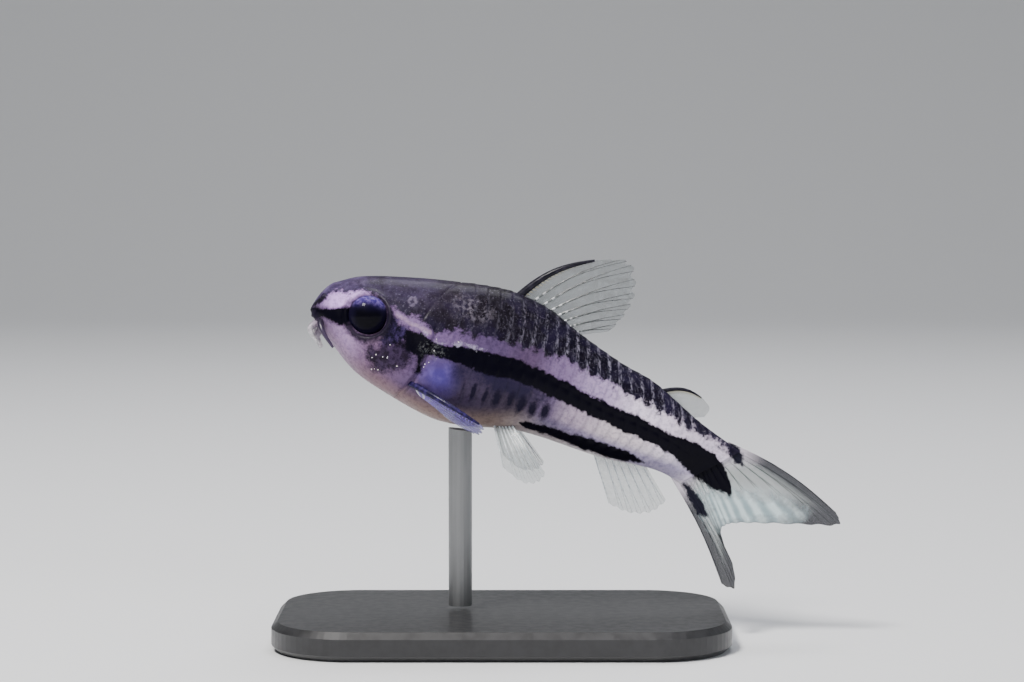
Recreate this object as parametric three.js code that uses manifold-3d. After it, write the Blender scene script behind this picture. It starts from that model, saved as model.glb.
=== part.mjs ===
// A pygmy corydoras catfish at life size, nose up on a plain display stand.
// Millimetres, +Z up. The snout points to -X, the left flank faces -Y,
// and the origin is the middle of the base's underside.
import * as THREE from "three";
import { mergeVertices } from "three/addons/utils/BufferGeometryUtils.js";
import Module from "manifold-3d";

const wasm = await Module();
wasm.setup();

// Driving dimensions. In the fish's own frame x runs from the snout tip along
// the body's axis, z is square to it towards the back, and the left side is -y.
const GAP = 0.3;
const PITCH = THREE.MathUtils.degToRad(21);
const SNOUT_X = -10.5;
const SNOUT_HEIGHT = 18.3;
const BODY_END = 25.4;
const NOSE_ROUND = 0.7;
const BACK_LINE = [[0, 1.35], [0.7, 1.85], [1.9, 2.66], [4.2, 3.51], [6.9, 4.28], [9.4, 4.82],
  [10.6, 4.88], [12.4, 4.66], [14.2, 4.06], [17, 3.34], [18.9, 3.04], [20.3, 2.57],
  [22.2, 1.85], [25.4, 1.0]];
const BELLY_LINE = [[0, -0.15], [0.4, -0.35], [1.8, -1.36], [3.4, -2.28], [5, -2.72], [8.2, -3.2],
  [10, -3.0], [13.1, -2.16], [17.7, -1.93], [21.1, -1.5], [23.4, -1.95], [25.4, -2.4]];
const HALF_WIDTH = [[0, 0.75], [0.7, 1.28], [2, 1.95], [4.4, 2.6], [6.6, 2.86], [8.4, 2.84],
  [10.6, 2.6], [14.2, 1.88], [18, 1.2], [22, 0.72], [25.4, 0.5]];
const WIDEST_LEVEL = [[0, 0.4], [4, 0.33], [9, 0.3], [14, 0.42], [25.4, 0.5]];
const SECTION_SIDES = 36;
const HEAD_RINGS = 15;

// Bony plates: two rows a side that overlap backwards, parted by a groove.
const PLATES_START = 5.5;
const PLATES_IN_ROW = 23;
const PLATE_RISE = 0.13;
const PLATE_RAMP = 0.84;
const ROW_GROOVE = [[5.5, 0.33], [9, 0.27], [12, 0.22], [16, 0.12], [20, 0.05], [25.4, 0]];

// Where the body is parted: behind the gill cover, and behind the dorsal fin.
const GILL_CENTRE = { x: 2.4, z: 0.6 };
const GILL_REACH = { x: 4.35, z: 5.6 };
const TAIL_START = 15.75;
const TAIL_ROOT = { x: 23.75, z: -0.2, lean: THREE.MathUtils.degToRad(41) };

const EYE = { x: 3.12, y: 1.72, z: 0.93, radius: 1.1, depth: 0.82 };
const EYE_RIM = { radius: 1.5, tube: 0.2, y: 1.98, turn: 0.22, tip: 0.3 };
const NOSTRILS = [{ x: 0.62, y: 0.78, z: 1.28 }, { x: 1.12, y: 1.02, z: 1.6 }];
const NOSTRIL = { radius: 0.17, rise: 0.16, bore: 0.09 };
const MOUTH = { x: 0.62, z: -0.46, radius: 0.6, lip: 0.17, lean: 0.62, slit: 0.1 };

const BARBEL_ROOT = 0.27;
const BARBEL_TIP = 0.09;
const BARBELS = {
  upper: [[0.85, 0.75, -0.15], [0.85, 1.25, -0.5], [1.25, 1.6, -0.9], [1.95, 1.7, -1.4]],
  lower: [[0.75, 0.7, -0.5], [0.4, 0.9, -0.85], [0.55, 0.98, -1.15], [0.95, 0.98, -1.42]],
  chin: [[0.95, 0.3, -0.7], [0.82, 0.36, -1.25], [1.0, 0.42, -1.5], [1.3, 0.45, -1.78]],
};

// Fins: thickness of the membrane, of a ray at its root, and of both at the tip.
const MEMBRANE = 0.5;
const RAY = 0.72;
const SPINE = 0.9;
const FIN_TIP = 0.26;
const RAY_SHARE = 0.27;
const FIN_ROWS = 5;

const BASE = { length: 25, width: 15, height: 1.6, corner: 4, chamfer: 0.35 };
const ROD = { x: -2.3, radius: 0.65, sides: 20 };

// Smooth curve through hand-set stations of [place, value].
function through(stations) {
  const last = stations.length - 1;
  const slope = (i) => {
    const before = stations[Math.max(i - 1, 0)];
    const after = stations[Math.min(i + 1, last)];
    return (after[1] - before[1]) / (after[0] - before[0]);
  };
  return (x) => {
    let i = 0;
    while (i < last - 1 && x > stations[i + 1][0]) i += 1;
    const span = stations[i + 1][0] - stations[i][0];
    const t = THREE.MathUtils.clamp((x - stations[i][0]) / span, 0, 1);
    const u = 1 - t;
    const from = stations[i][1] * (1 + 2 * t) + slope(i) * span * t;
    const to = stations[i + 1][1] * (3 - 2 * t) - slope(i + 1) * span * u;
    return from * u * u + to * t * t;
  };
}

const backLine = through(BACK_LINE);
const bellyLine = through(BELLY_LINE);
const halfWidth = through(HALF_WIDTH);
const widestLevel = through(WIDEST_LEVEL);
const rowGroove = through(ROW_GROOVE);

// A closed geometry from rings of points, each ring with the same count.
function loft(rings) {
  const count = rings[0].length;
  const last = (rings.length - 1) * count;
  const points = rings.flat();
  const middle = (ring) =>
    ring.reduce((sum, p) => sum.add(p), new THREE.Vector3()).divideScalar(count);
  const front = points.push(middle(rings[0])) - 1;
  const rear = points.push(middle(rings[rings.length - 1])) - 1;
  const index = [];
  for (let r = 0; r < rings.length - 1; r += 1) {
    for (let s = 0; s < count; s += 1) {
      const a = r * count + s;
      const b = r * count + ((s + 1) % count);
      index.push(a, b, a + count, b, b + count, a + count);
    }
  }
  for (let s = 0; s < count; s += 1) {
    const next = (s + 1) % count;
    index.push(front, next, s, rear, last + s, last + next);
  }
  return new THREE.BufferGeometry().setFromPoints(points).setIndex(index);
}

function solid(geometry) {
  const bare = geometry.clone();
  bare.deleteAttribute("normal");
  bare.deleteAttribute("uv");
  const merged = mergeVertices(bare, 1e-4);
  const made = new wasm.Manifold(new wasm.Mesh({
    numProp: 3,
    vertProperties: new Float32Array(merged.attributes.position.array),
    triVerts: new Uint32Array(merged.index.array),
  }));
  if (made.volume() > 0) return made;
  const flipped = new Uint32Array(merged.index.array).reverse();
  return new wasm.Manifold(new wasm.Mesh({
    numProp: 3,
    vertProperties: new Float32Array(merged.attributes.position.array),
    triVerts: flipped,
  }));
}

function largest(made) {
  return made.decompose().reduce((a, b) => (b.volume() > a.volume() ? b : a));
}

function geometryOf(made) {
  const mesh = made.getMesh();
  return new THREE.BufferGeometry()
    .setAttribute("position", new THREE.BufferAttribute(mesh.vertProperties, 3))
    .setIndex(new THREE.BufferAttribute(mesh.triVerts, 1));
}

// How far a plate stands out of the skin at a ring and a height on the flank:
// it climbs backwards, and fades at the groove between the rows and on the belly.
function plateLift(x, ramp, rise) {
  const groove = Math.min(Math.abs(rise - rowGroove(x)) / 0.12, 1);
  const flank = THREE.MathUtils.smoothstep(rise, -0.85, -0.6);
  return PLATE_RISE * ramp * groove * flank;
}

// One ring of the body's section. Growing it moves its surface outwards.
function bodyRing(x, ramp, grow) {
  const rounding = Math.min(x / NOSE_ROUND, 1);
  const nose = Math.sqrt(Math.max(1 - (1 - rounding) ** 2, 0.004));
  const top = backLine(x) * nose + grow;
  const bottom = bellyLine(x) * nose - grow;
  const level = bottom + (top - bottom) * widestLevel(x);
  const half = halfWidth(x) * nose + grow;
  const ring = [];
  for (let s = 0; s < SECTION_SIDES; s += 1) {
    const turn = (s / SECTION_SIDES) * 2 * Math.PI;
    const rise = Math.sin(turn);
    const side = Math.cos(turn);
    const reach = rise > 0 ? top - level : level - bottom;
    const fullness = rise > 0 ? 1.12 : 0.8;
    const y = half * Math.sign(side) * Math.abs(side) ** fullness;
    const z = reach * rise;
    const lift = 1 + plateLift(x, ramp, rise) / Math.max(Math.hypot(y, z), 0.2);
    ring.push(new THREE.Vector3(x - grow * Math.max(1 - x, 0), y * lift, level + z * lift));
  }
  return ring;
}

function bodySolid(grow) {
  const rings = [];
  for (let i = 0; i < HEAD_RINGS; i += 1) {
    rings.push(bodyRing(PLATES_START * (i / HEAD_RINGS) ** 1.8, 0, grow));
  }
  const pitch = (BODY_END - PLATES_START) / PLATES_IN_ROW;
  for (let i = 0; i < PLATES_IN_ROW; i += 1) {
    const start = PLATES_START + i * pitch;
    rings.push(bodyRing(start, 0, grow));
    rings.push(bodyRing(start + PLATE_RAMP * pitch, 1, grow));
  }
  rings.push(bodyRing(BODY_END, 0, grow));
  return solid(loft(rings));
}

// A slab across the body whose outline is drawn in the x, z plane.
function acrossBody(outline) {
  const shape = new THREE.Shape(outline.map(([x, z]) => new THREE.Vector2(x, z)));
  const slab = new THREE.ExtrudeGeometry(shape, { depth: 12, bevelEnabled: false });
  slab.translate(0, 0, -6);
  slab.rotateX(Math.PI / 2);
  return solid(slab);
}

// Everything in front of the gill cover's rear edge, moved back by a margin.
function gillFront(margin) {
  const outline = [];
  for (let i = 0; i <= 20; i += 1) {
    const turn = (i / 20 - 0.5) * Math.PI;
    outline.push([
      GILL_CENTRE.x + (GILL_REACH.x + margin) * Math.cos(turn),
      GILL_CENTRE.z + (GILL_REACH.z + margin) * Math.sin(turn),
    ]);
  }
  outline.push([-3, 7], [-3, -6]);
  return acrossBody(outline);
}

// Everything behind a slanted line through a place on the axis.
function behind(place, lean) {
  const along = [Math.sin(lean) * 9, Math.cos(lean) * 9];
  return acrossBody([
    [place.x - along[0], place.z - along[1]],
    [place.x + 20, place.z - along[1]],
    [place.x + 20, place.z + along[1]],
    [place.x + along[0], place.z + along[1]],
  ]);
}

const skin = bodySolid(0);
const clearance = bodySolid(GAP);
const beyondTail = behind(TAIL_ROOT, TAIL_ROOT.lean);

function eyeball(side, grow) {
  const ball = new THREE.SphereGeometry(1, 24, 16);
  ball.rotateX(Math.PI / 2);
  ball.scale(EYE.radius + grow, EYE.depth + grow, EYE.radius + grow);
  ball.translate(EYE.x, side * EYE.y, EYE.z);
  return ball;
}

// The raised free margin of skin round an eye.
function eyeRim(side) {
  const rim = new THREE.TorusGeometry(EYE_RIM.radius, EYE_RIM.tube, 8, 28);
  rim.rotateX(Math.PI / 2);
  rim.rotateX(side * EYE_RIM.tip);
  rim.rotateZ(side * EYE_RIM.turn);
  rim.translate(EYE.x, side * EYE_RIM.y, EYE.z);
  return solid(rim);
}

function nostrilTube(place, side, radius, height) {
  const tube = new THREE.CylinderGeometry(radius * 0.85, radius, height, 10);
  tube.rotateX(Math.PI / 2);
  const outwards = new THREE.Vector3(-0.45, side * 0.6, 0.66).normalize();
  const turn = new THREE.Quaternion().setFromUnitVectors(new THREE.Vector3(0, 0, 1), outwards);
  tube.applyQuaternion(turn);
  tube.translate(place.x, side * place.y, place.z);
  return solid(tube);
}

function lips(radius, thickness, flatness) {
  const ring = new THREE.TorusGeometry(radius, thickness, 8, 24);
  ring.scale(0.62, 1.15, flatness);
  ring.rotateY(-MOUTH.lean);
  ring.translate(MOUTH.x, 0, MOUTH.z);
  return solid(ring);
}

function mouthSlit() {
  const slit = new THREE.CylinderGeometry(MOUTH.radius, MOUTH.radius, 0.9, 20);
  slit.rotateX(Math.PI / 2);
  slit.scale(MOUTH.slit * 2.6, 0.86, 1);
  slit.rotateY(-MOUTH.lean);
  slit.translate(MOUTH.x, 0, MOUTH.z);
  return solid(slit);
}

function head() {
  let made = skin.intersect(gillFront(0));
  made = made.add(lips(MOUTH.radius, MOUTH.lip, 1.1)).subtract(mouthSlit());
  for (const side of [-1, 1]) {
    made = made.add(eyeRim(side)).subtract(solid(eyeball(side, GAP)));
    for (const place of NOSTRILS) {
      made = made.add(nostrilTube(place, side, NOSTRIL.radius, 2 * NOSTRIL.rise));
      made = made.subtract(nostrilTube(place, side, NOSTRIL.bore, 3 * NOSTRIL.rise));
    }
  }
  return largest(made);
}

function trunk() {
  const rear = behind({ x: TAIL_START, z: 0 }, 0);
  return largest(skin.subtract(gillFront(GAP)).subtract(rear));
}

function tail() {
  const front = behind({ x: TAIL_START + GAP, z: 0 }, 0);
  return largest(skin.intersect(front).subtract(beyondTail));
}

// A barbel: a tube along a curve that tapers to its tip.
function barbel(route) {
  const path = new THREE.CatmullRomCurve3(route.map(([x, y, z]) => new THREE.Vector3(x, -y, z)));
  const frames = path.computeFrenetFrames(9, false);
  const rings = frames.tangents.map((_, i) => {
    const share = i / 9;
    const radius = THREE.MathUtils.lerp(BARBEL_ROOT, BARBEL_TIP, share);
    const centre = path.getPointAt(share);
    return Array.from({ length: 8 }, (__, s) => {
      const turn = (s / 8) * 2 * Math.PI;
      return centre.clone()
        .addScaledVector(frames.normals[i], radius * Math.cos(turn))
        .addScaledVector(frames.binormals[i], radius * Math.sin(turn));
    });
  });
  return largest(solid(loft(rings)).subtract(clearance));
}

function curveOf(points) {
  const places = points.map((p) => new THREE.Vector3(...p));
  return new THREE.CatmullRomCurve3(places, false, "centripetal");
}

// A fin: a membrane between a root line and an outer edge, with its rays raised
// as ridges on both faces. The first ray may be a thicker spine. Sway bows the whole
// fin between root and edge, and lead bows its leading edge alone.
function fin(shape) {
  const { root, edge, rays, spine = RAY, facing = [0, 1, 0] } = shape;
  const rootCurve = curveOf(root);
  const edgeCurve = curveOf(edge);
  const places = [];
  for (let ray = 0; ray < rays; ray += 1) {
    const middle = (ray + 0.5) / rays;
    const half = RAY_SHARE / rays;
    const crest = ray === 0 ? spine : RAY;
    if (ray === 0) {
      places.push([0, MEMBRANE], [0.4 * half, crest], [middle, MEMBRANE]);
    } else {
      places.push([middle - half, MEMBRANE], [middle, crest], [middle + half, MEMBRANE]);
    }
  }
  places.push([1, MEMBRANE]);
  const normal = new THREE.Vector3(...facing).normalize();
  const sway = new THREE.Vector3(...(shape.sway ?? [0, 0, 0]));
  const lead = new THREE.Vector3(...(shape.lead ?? [0, 0, 0]));
  const faces = [[], []];
  for (let row = 0; row <= FIN_ROWS; row += 1) {
    const share = row / FIN_ROWS;
    for (const [place, thickness] of places) {
      const centre = rootCurve.getPoint(place).lerp(edgeCurve.getPoint(place), share);
      const bow = Math.sin(share * Math.PI);
      centre.addScaledVector(sway, bow).addScaledVector(lead, bow * (1 - place));
      const half = THREE.MathUtils.lerp(thickness, FIN_TIP, share ** 2.2) / 2;
      faces[0].push(centre.clone().addScaledVector(normal, half));
      faces[1].push(centre.clone().addScaledVector(normal, -half));
    }
  }
  const columns = places.length;
  const size = faces[0].length;
  const index = [];
  const quad = (a, b, c, d) => index.push(a, b, c, a, c, d);
  for (let row = 0; row < FIN_ROWS; row += 1) {
    for (let column = 0; column < columns - 1; column += 1) {
      const a = row * columns + column;
      const b = a + 1;
      const c = b + columns;
      const d = a + columns;
      index.push(a, b, c, a, c, d);
      index.push(size + a, size + c, size + b, size + a, size + d, size + c);
    }
    const lead = row * columns;
    const trail = lead + columns - 1;
    quad(lead, lead + columns, size + lead + columns, size + lead);
    quad(trail, size + trail, size + trail + columns, trail + columns);
  }
  for (let column = 0; column < columns - 1; column += 1) {
    const tip = FIN_ROWS * columns + column;
    quad(column, size + column, size + column + 1, column + 1);
    quad(tip, tip + 1, size + tip + 1, size + tip);
  }
  return solid(new THREE.BufferGeometry().setFromPoints(faces.flat()).setIndex(index));
}

const DORSAL = {
  root: [[10.19, 0, 4.2], [12.2, 0, 4.05], [13.9, 0, 3.7]],
  edge: [[13.95, 0, 8.28], [15.5, 0, 8.7], [16.3, 0, 7.4], [16.3, 0, 6.1], [15.8, 0, 4.75]],
  rays: 8,
  spine: SPINE,
  lead: [-0.36, 0, 0.36],
};
const ADIPOSE = {
  root: [[19.5, 0, 2.4], [20.4, 0, 2.0], [21.4, 0, 1.6]],
  edge: [[21.95, 0, 3.1], [22.45, 0, 2.75], [22.35, 0, 2.2]],
  rays: 1,
  spine: 0.7,
  lead: [0, 0, 0.35],
};
const ANAL = {
  root: [[17.2, 0, -1.4], [18.6, 0, -1.3], [20.1, 0, -1.1]],
  edge: [[19.2, 0, -4.2], [20.4, 0, -4.25], [21.5, 0, -3.8], [22.1, 0, -2.9]],
  rays: 7,
};
const CAUDAL_UPPER = {
  root: [[24.4, 0, 1.3], [23.9, 0, 0.7], [23.3, 0, 0.02]],
  edge: [[31.2, 0.25, -0.2], [31.5, 0.25, -0.75], [29.9, 0.2, -1.35], [27.7, 0.1, -2.25],
    [26.2, 0, -2.85]],
  rays: 7,
  lead: [0.1, 0, 0.36],
};
const CAUDAL_LOWER = {
  root: [[21.9, 0, -1.5], [22.4, 0, -0.95], [22.95, 0, -0.35]],
  edge: [[26.7, 0.25, -6.2], [27.4, 0.25, -6.1], [26.9, 0.2, -5.0], [26.3, 0.1, -4.2],
    [25.75, 0, -3.45]],
  rays: 7,
  lead: [0.1, 0, 0.2],
};
const PECTORAL = {
  root: [[6.4, -2.1, -1.62], [6.8, -2.2, -1.85], [7.2, -2.2, -2.05]],
  edge: [[11.15, -4.6, -2.25], [11.05, -4.1, -2.75], [10.3, -3.4, -2.85], [9.2, -2.9, -2.7]],
  rays: 6,
  spine: SPINE,
  sway: [-0.1, -0.4, 0.1],
  facing: [0.43, 0.66, 0.62],
};
const PELVIC = {
  root: [[11.7, -1.1, -2.2], [12.2, -1.2, -2.05], [12.7, -1.3, -1.8]],
  edge: [[12.9, -2.9, -4.1], [14.1, -3.0, -4.45], [14.9, -3.0, -4.2], [15.2, -2.8, -3.6]],
  rays: 6,
  sway: [0, -0.25, 0],
  facing: [-0.2, -0.9, 0.35],
};

// Cuts the root of a fin to lie along the skin, a gap away from it.
function rooted(made) {
  return largest(made.subtract(clearance));
}

function caudalLobe(shape) {
  const offset = GAP / Math.cos(TAIL_ROOT.lean);
  const start = { x: TAIL_ROOT.x + offset, z: TAIL_ROOT.z };
  return largest(fin(shape).intersect(behind(start, TAIL_ROOT.lean)));
}

// The same piece on the other side of the fish.
function mirrored(made) {
  return solid(geometryOf(made).scale(1, -1, 1));
}

function standBase() {
  const halfLength = BASE.length / 2 - BASE.chamfer;
  const halfWide = BASE.width / 2 - BASE.chamfer;
  const corner = BASE.corner;
  const shape = new THREE.Shape();
  shape.absarc(halfLength - corner, halfWide - corner, corner, 0, Math.PI / 2);
  shape.absarc(corner - halfLength, halfWide - corner, corner, Math.PI / 2, Math.PI);
  shape.absarc(corner - halfLength, corner - halfWide, corner, Math.PI, 1.5 * Math.PI);
  shape.absarc(halfLength - corner, corner - halfWide, corner, 1.5 * Math.PI, 2 * Math.PI);
  const plate = new THREE.ExtrudeGeometry(shape, {
    depth: BASE.height - 2 * BASE.chamfer,
    bevelThickness: BASE.chamfer,
    bevelSize: BASE.chamfer,
    bevelSegments: 1,
    curveSegments: 8,
  });
  plate.translate(0, 0, BASE.chamfer);
  return solid(plate);
}

// The rod is drawn too long and cut to follow the belly, a gap below it.
function standRod() {
  const length = SNOUT_HEIGHT - BASE.height;
  const rod = new THREE.CylinderGeometry(ROD.radius, ROD.radius, length, ROD.sides);
  rod.rotateX(Math.PI / 2);
  rod.translate(ROD.x, 0, BASE.height + GAP + length / 2);
  const above = new THREE.Group();
  above.rotation.y = PITCH;
  above.position.set(SNOUT_X, 0, SNOUT_HEIGHT);
  above.updateMatrix();
  const belly = solid(geometryOf(clearance).applyMatrix4(above.matrix));
  const pieces = solid(rod).subtract(belly).decompose();
  return pieces.reduce((a, b) => (b.boundingBox().min[2] < a.boundingBox().min[2] ? b : a));
}

function material(color, roughness, metalness = 0) {
  return new THREE.MeshStandardMaterial({ color, roughness, metalness });
}

const skinFinish = material(0x5a5064, 0.42);
const finFinish = material(0xc8d2cc, 0.35);
const eyeFinish = material(0x0b0912, 0.08);
const barbelFinish = material(0x8c7a92, 0.5);
const baseFinish = material(0x1c1c1e, 0.45);
const rodFinish = material(0xb4b6b8, 0.3, 1);

function piece(name, made, finish) {
  const mesh = new THREE.Mesh(geometryOf(made), finish);
  mesh.name = name;
  return mesh;
}

const fish = new THREE.Group();
fish.rotation.y = PITCH;
fish.position.set(SNOUT_X, 0, SNOUT_HEIGHT);
fish.add(piece("head", head(), skinFinish));
fish.add(piece("trunk", trunk(), skinFinish));
fish.add(piece("tail", tail(), skinFinish));
fish.add(piece("fin_dorsal", rooted(fin(DORSAL)), finFinish));
fish.add(piece("fin_adipose", rooted(fin(ADIPOSE)), finFinish));
fish.add(piece("fin_anal", rooted(fin(ANAL)), finFinish));
fish.add(piece("fin_caudal_upper", caudalLobe(CAUDAL_UPPER), finFinish));
fish.add(piece("fin_caudal_lower", caudalLobe(CAUDAL_LOWER), finFinish));
const pairs = {
  fin_pectoral: [rooted(fin(PECTORAL)), finFinish],
  fin_pelvic: [rooted(fin(PELVIC)), finFinish],
  eye: [solid(eyeball(-1, 0)), eyeFinish],
};
for (const [kind, route] of Object.entries(BARBELS)) {
  pairs["barbel_" + kind] = [barbel(route), barbelFinish];
}
for (const [name, [left, finish]] of Object.entries(pairs)) {
  fish.add(piece(name + "_left", left, finish));
  fish.add(piece(name + "_right", mirrored(left), finish));
}

const model = new THREE.Group();
model.add(fish);
model.add(piece("stand_base", standBase(), baseFinish));
model.add(piece("stand_rod", standRod(), rodFinish));

export default model;
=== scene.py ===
import math

import bmesh
import bpy
import numpy as np
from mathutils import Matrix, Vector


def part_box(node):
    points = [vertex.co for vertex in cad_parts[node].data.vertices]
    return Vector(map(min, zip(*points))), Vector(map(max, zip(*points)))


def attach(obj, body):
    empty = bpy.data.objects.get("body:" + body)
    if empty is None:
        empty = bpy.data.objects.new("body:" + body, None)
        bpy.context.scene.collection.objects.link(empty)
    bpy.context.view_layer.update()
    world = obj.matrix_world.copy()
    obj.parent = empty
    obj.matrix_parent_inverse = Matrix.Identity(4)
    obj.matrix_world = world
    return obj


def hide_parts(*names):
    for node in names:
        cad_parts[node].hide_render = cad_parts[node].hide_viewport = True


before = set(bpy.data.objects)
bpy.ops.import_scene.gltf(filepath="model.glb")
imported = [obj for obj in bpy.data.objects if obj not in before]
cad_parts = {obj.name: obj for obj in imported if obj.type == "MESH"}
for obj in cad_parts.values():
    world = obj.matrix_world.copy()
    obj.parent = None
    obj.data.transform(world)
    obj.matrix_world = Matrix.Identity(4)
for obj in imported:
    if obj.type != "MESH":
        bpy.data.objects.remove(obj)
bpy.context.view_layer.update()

MM = 0.001
PITCH = math.radians(21)

# The body: its lines along x, and how it closes at the snout and at the tail's root.
BACK_LINE = [(0, 1.35), (0.7, 1.85), (1.9, 2.66), (4.2, 3.51), (6.9, 4.28), (9.4, 4.82),
             (10.6, 4.88), (12.4, 4.66), (14.2, 4.06), (17, 3.34), (18.9, 3.04), (20.3, 2.57),
             (22.2, 1.85), (25.4, 1.0)]
BELLY_LINE = [(0, -0.15), (0.4, -0.35), (1.8, -1.36), (3.4, -2.28), (5, -2.72), (8.2, -3.2),
              (10, -3.0), (13.1, -2.16), (17.7, -1.93), (21.1, -1.5), (23.4, -1.95), (25.4, -2.4)]
HALF_WIDTH = [(0, 0.75), (0.7, 1.28), (2, 1.95), (4.4, 2.6), (6.6, 2.86), (8.4, 2.84),
              (10.6, 2.6), (14.2, 1.88), (18, 1.2), (22, 0.72), (25.4, 0.5)]
WIDEST_LEVEL = [(0, 0.4), (4, 0.33), (9, 0.3), (14, 0.42), (25.4, 0.5)]
BACK_FULLNESS = 1.12
BELLY_FULLNESS = 0.8
NOSE_ROUND = 0.7
BODY_END = 23.75
CLOSING_RUN = 3.2
CLOSED_SHARE = 0.93
TAIL_LEAN = math.radians(41)
TAIL_LEAN_START = 18.5
TAIL_LEVEL = -0.2
SKIN_RINGS = 430
SKIN_SIDES = 190

EYE = (3.12, 1.72, 0.93)
EYE_RADIUS = 1.1
EYE_DEPTH = 0.82
EYE_BULGE = 0.04
EYE_RINGS = 43
EYE_SIDES = 64

# Bony plates, and the edge of the gill cover.
PLATE_PITCH = 0.68
PLATE_CREST = 0.88
PLATE_RISE = 0.05
UPPER_PLATES_START = 7.15
LOWER_PLATES_START = 8.75
PLATES_END = 23.0
ROW_GROOVE = [(5.5, 0.33), (9, 0.27), (12, 0.22), (16, 0.12), (20, 0.05), (25.4, 0.0)]
GILL_CENTRE = (2.4, 0.6)
GILL_REACH = (4.35, 5.6)

# The head's forms: how far each stands out of the skin, and where some of them are.
RISE = {
    "gill_cover": 0.1, "gill_edge": 0.1, "gill_slit": -0.13, "cheek_plate": 0.045,
    "eye_rim": 0.11, "eye_bed": -0.55, "nostril_rim": 0.1, "nostril": -0.14,
    "lips": 0.15, "mouth": -0.24, "skull_seam": -0.05, "nape_seam": -0.05,
    "temple": 0.03, "shoulder": 0.05,
}
NOSTRILS = [(0.5, 0.82, 0.98), (1.05, 1.06, 1.42)]
NOSTRIL_RADIUS = 0.13
EYE_RIM_RADIUS = 1.24
MOUTH_X = 0.62
LIP_RING = (0.34, 0.74, 0.42)

# Markings of the flank: their edges along the body, and outlines of (x, z) corners.
STRIPE_TOP = [(5.3, 0.95), (6.1, 1.08), (6.8, 0.97), (7.4, 0.93), (8.3, 1.22), (9.4, 1.38),
              (10.6, 1.54), (12.7, 1.6), (14.1, 1.46), (15.7, 1.28), (17.3, 1.08), (18.8, 1.0),
              (20.4, 0.76), (21.9, 0.72), (23.3, 0.62), (23.9, 0.36), (24.9, -0.5), (25.4, -1.4)]
STRIPE_BOTTOM = [(5.3, 0.5), (6.5, 0.2), (7.2, 0.24), (8.2, 0.34), (9.8, 0.32), (11.4, 0.46),
                 (12.8, 0.5), (13.8, 0.41), (14.8, 0.29), (16.1, 0.13), (17.7, 0.03),
                 (19.2, -0.05), (20.8, -0.25), (22, -0.58), (22.8, -1.04), (23.8, -1.27),
                 (24.7, -1.38), (25.4, -1.45)]
STRIPE_RUN = (5.4, 25.3)
LOW_STRIPE_MIDDLE = [(12.8, -1.62), (15.25, -1.48), (17.5, -1.42), (19.4, -1.3), (20.4, -1.3)]
LOW_STRIPE_HALF = [(12.8, 0.0), (13.2, 0.2), (15.25, 0.3), (17.5, 0.37), (19, 0.32), (20.2, 0.0)]
LOW_STRIPE_RUN = (12.8, 20.2)
SNOUT_STRIPE_END = 2.3
BACK_EDGE = [(0, 0.2), (0.45, 0.5), (0.8, 1.22), (1.58, 1.68), (2.47, 2.04), (3.41, 2.14),
             (3.84, 2.02), (4.25, 1.8), (5.1, 1.74), (5.9, 1.68), (6.6, 1.47), (7.2, 1.53),
             (8, 1.88), (9.1, 2), (10.3, 2.22), (12, 2.4), (13.6, 2.46), (15, 2.32), (16.6, 2.08),
             (18, 1.92), (19.8, 1.74), (20.9, 1.55), (21.6, 1.35), (23.2, 1.25), (24.1, 0.9),
             (25.4, 0.45)]
BACK_NOTCH = 0.1
OUTLINES = {
    "gill_patch": [(5.35, 0.75), (5.5, 1.08), (6.1, 1.08), (6.75, 0.95), (7.0, 0.3), (6.72, 0.1),
                   (6.92, -0.9), (6.62, -0.95), (6.4, -0.1), (5.85, -0.15), (5.45, 0.2)],
    "cheek": [(3.6, -0.6), (4.3, -0.35), (4.85, 0.05), (5.4, 0.45), (6.2, 0.2), (6.4, -0.4),
              (6.0, -1.0), (5.3, -1.35), (4.5, -1.6), (3.87, -1.2)],
    "lip": [(0.0, 0.1), (0.5, 0.0), (0.8, -0.4), (1.05, -0.8), (0.75, -0.95), (0.3, -0.45)],
    "behind_eye": [(4.15, 1.5), (5.4, 1.2), (5.6, 0.5), (5.1, -0.2), (4.3, -0.3), (4.2, 0.6)],
}
# Oval marks: the middle's x and z, the radius, and how much each way is squeezed.
OVALS = {
    "blue": (7.9, -0.74, 0.86, 1, 1.1),
    "mottle": (8.3, 3.3, 1.0, 0.6, 1.1),
    "glitter": (7.1, 0.5, 0.3, 0.6, 0.9),
}
DUSKY_OVALS = [(8.85, -0.15, 0.42, 1.1, 0.6), (11.6, 0.3, 0.8, 0.38, 1)]
RING_SPOT = (5.07, 2.53, 0.19)
RING_SPOT_HALF = 0.07
# A painted shadow in the eye's socket: a dark ring round the eye, its radius and half width.
SOCKET_SHADOW_RADIUS = 1.18
SOCKET_SHADOW_HALF = 0.24
TICK_PLACE = 11.25
TICK_PITCH = 0.67
TICK_HALF = 0.22
FRONT_TICK_HALF = 0.12
FRONT_TICKS_END = 10.9
TICK_HEIGHT = 0.48
TICKS_MIDDLE = 11.75
TICKS_REACH = 2.45
TAIL_BLOTCH = [(23.3, 1.25), (24.6, 1.5), (25.1, 1.0), (25.4, 0.4), (24.9, 0.42), (24.2, 0.95)]
TAIL_STREAK = [(22.4, -1.5), (23.1, -2.35), (23.9, -2.95), (24.6, -2.9), (23.9, -2.2), (23.1, -1.6)]
TAIL_WHITE = [(23.5, -1.8), (25.4, -0.9), (27.5, -0.5), (29.4, -0.8), (29.0, -1.5), (26.4, -2.8),
              (25.1, -3.3), (24.3, -2.6)]

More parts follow.
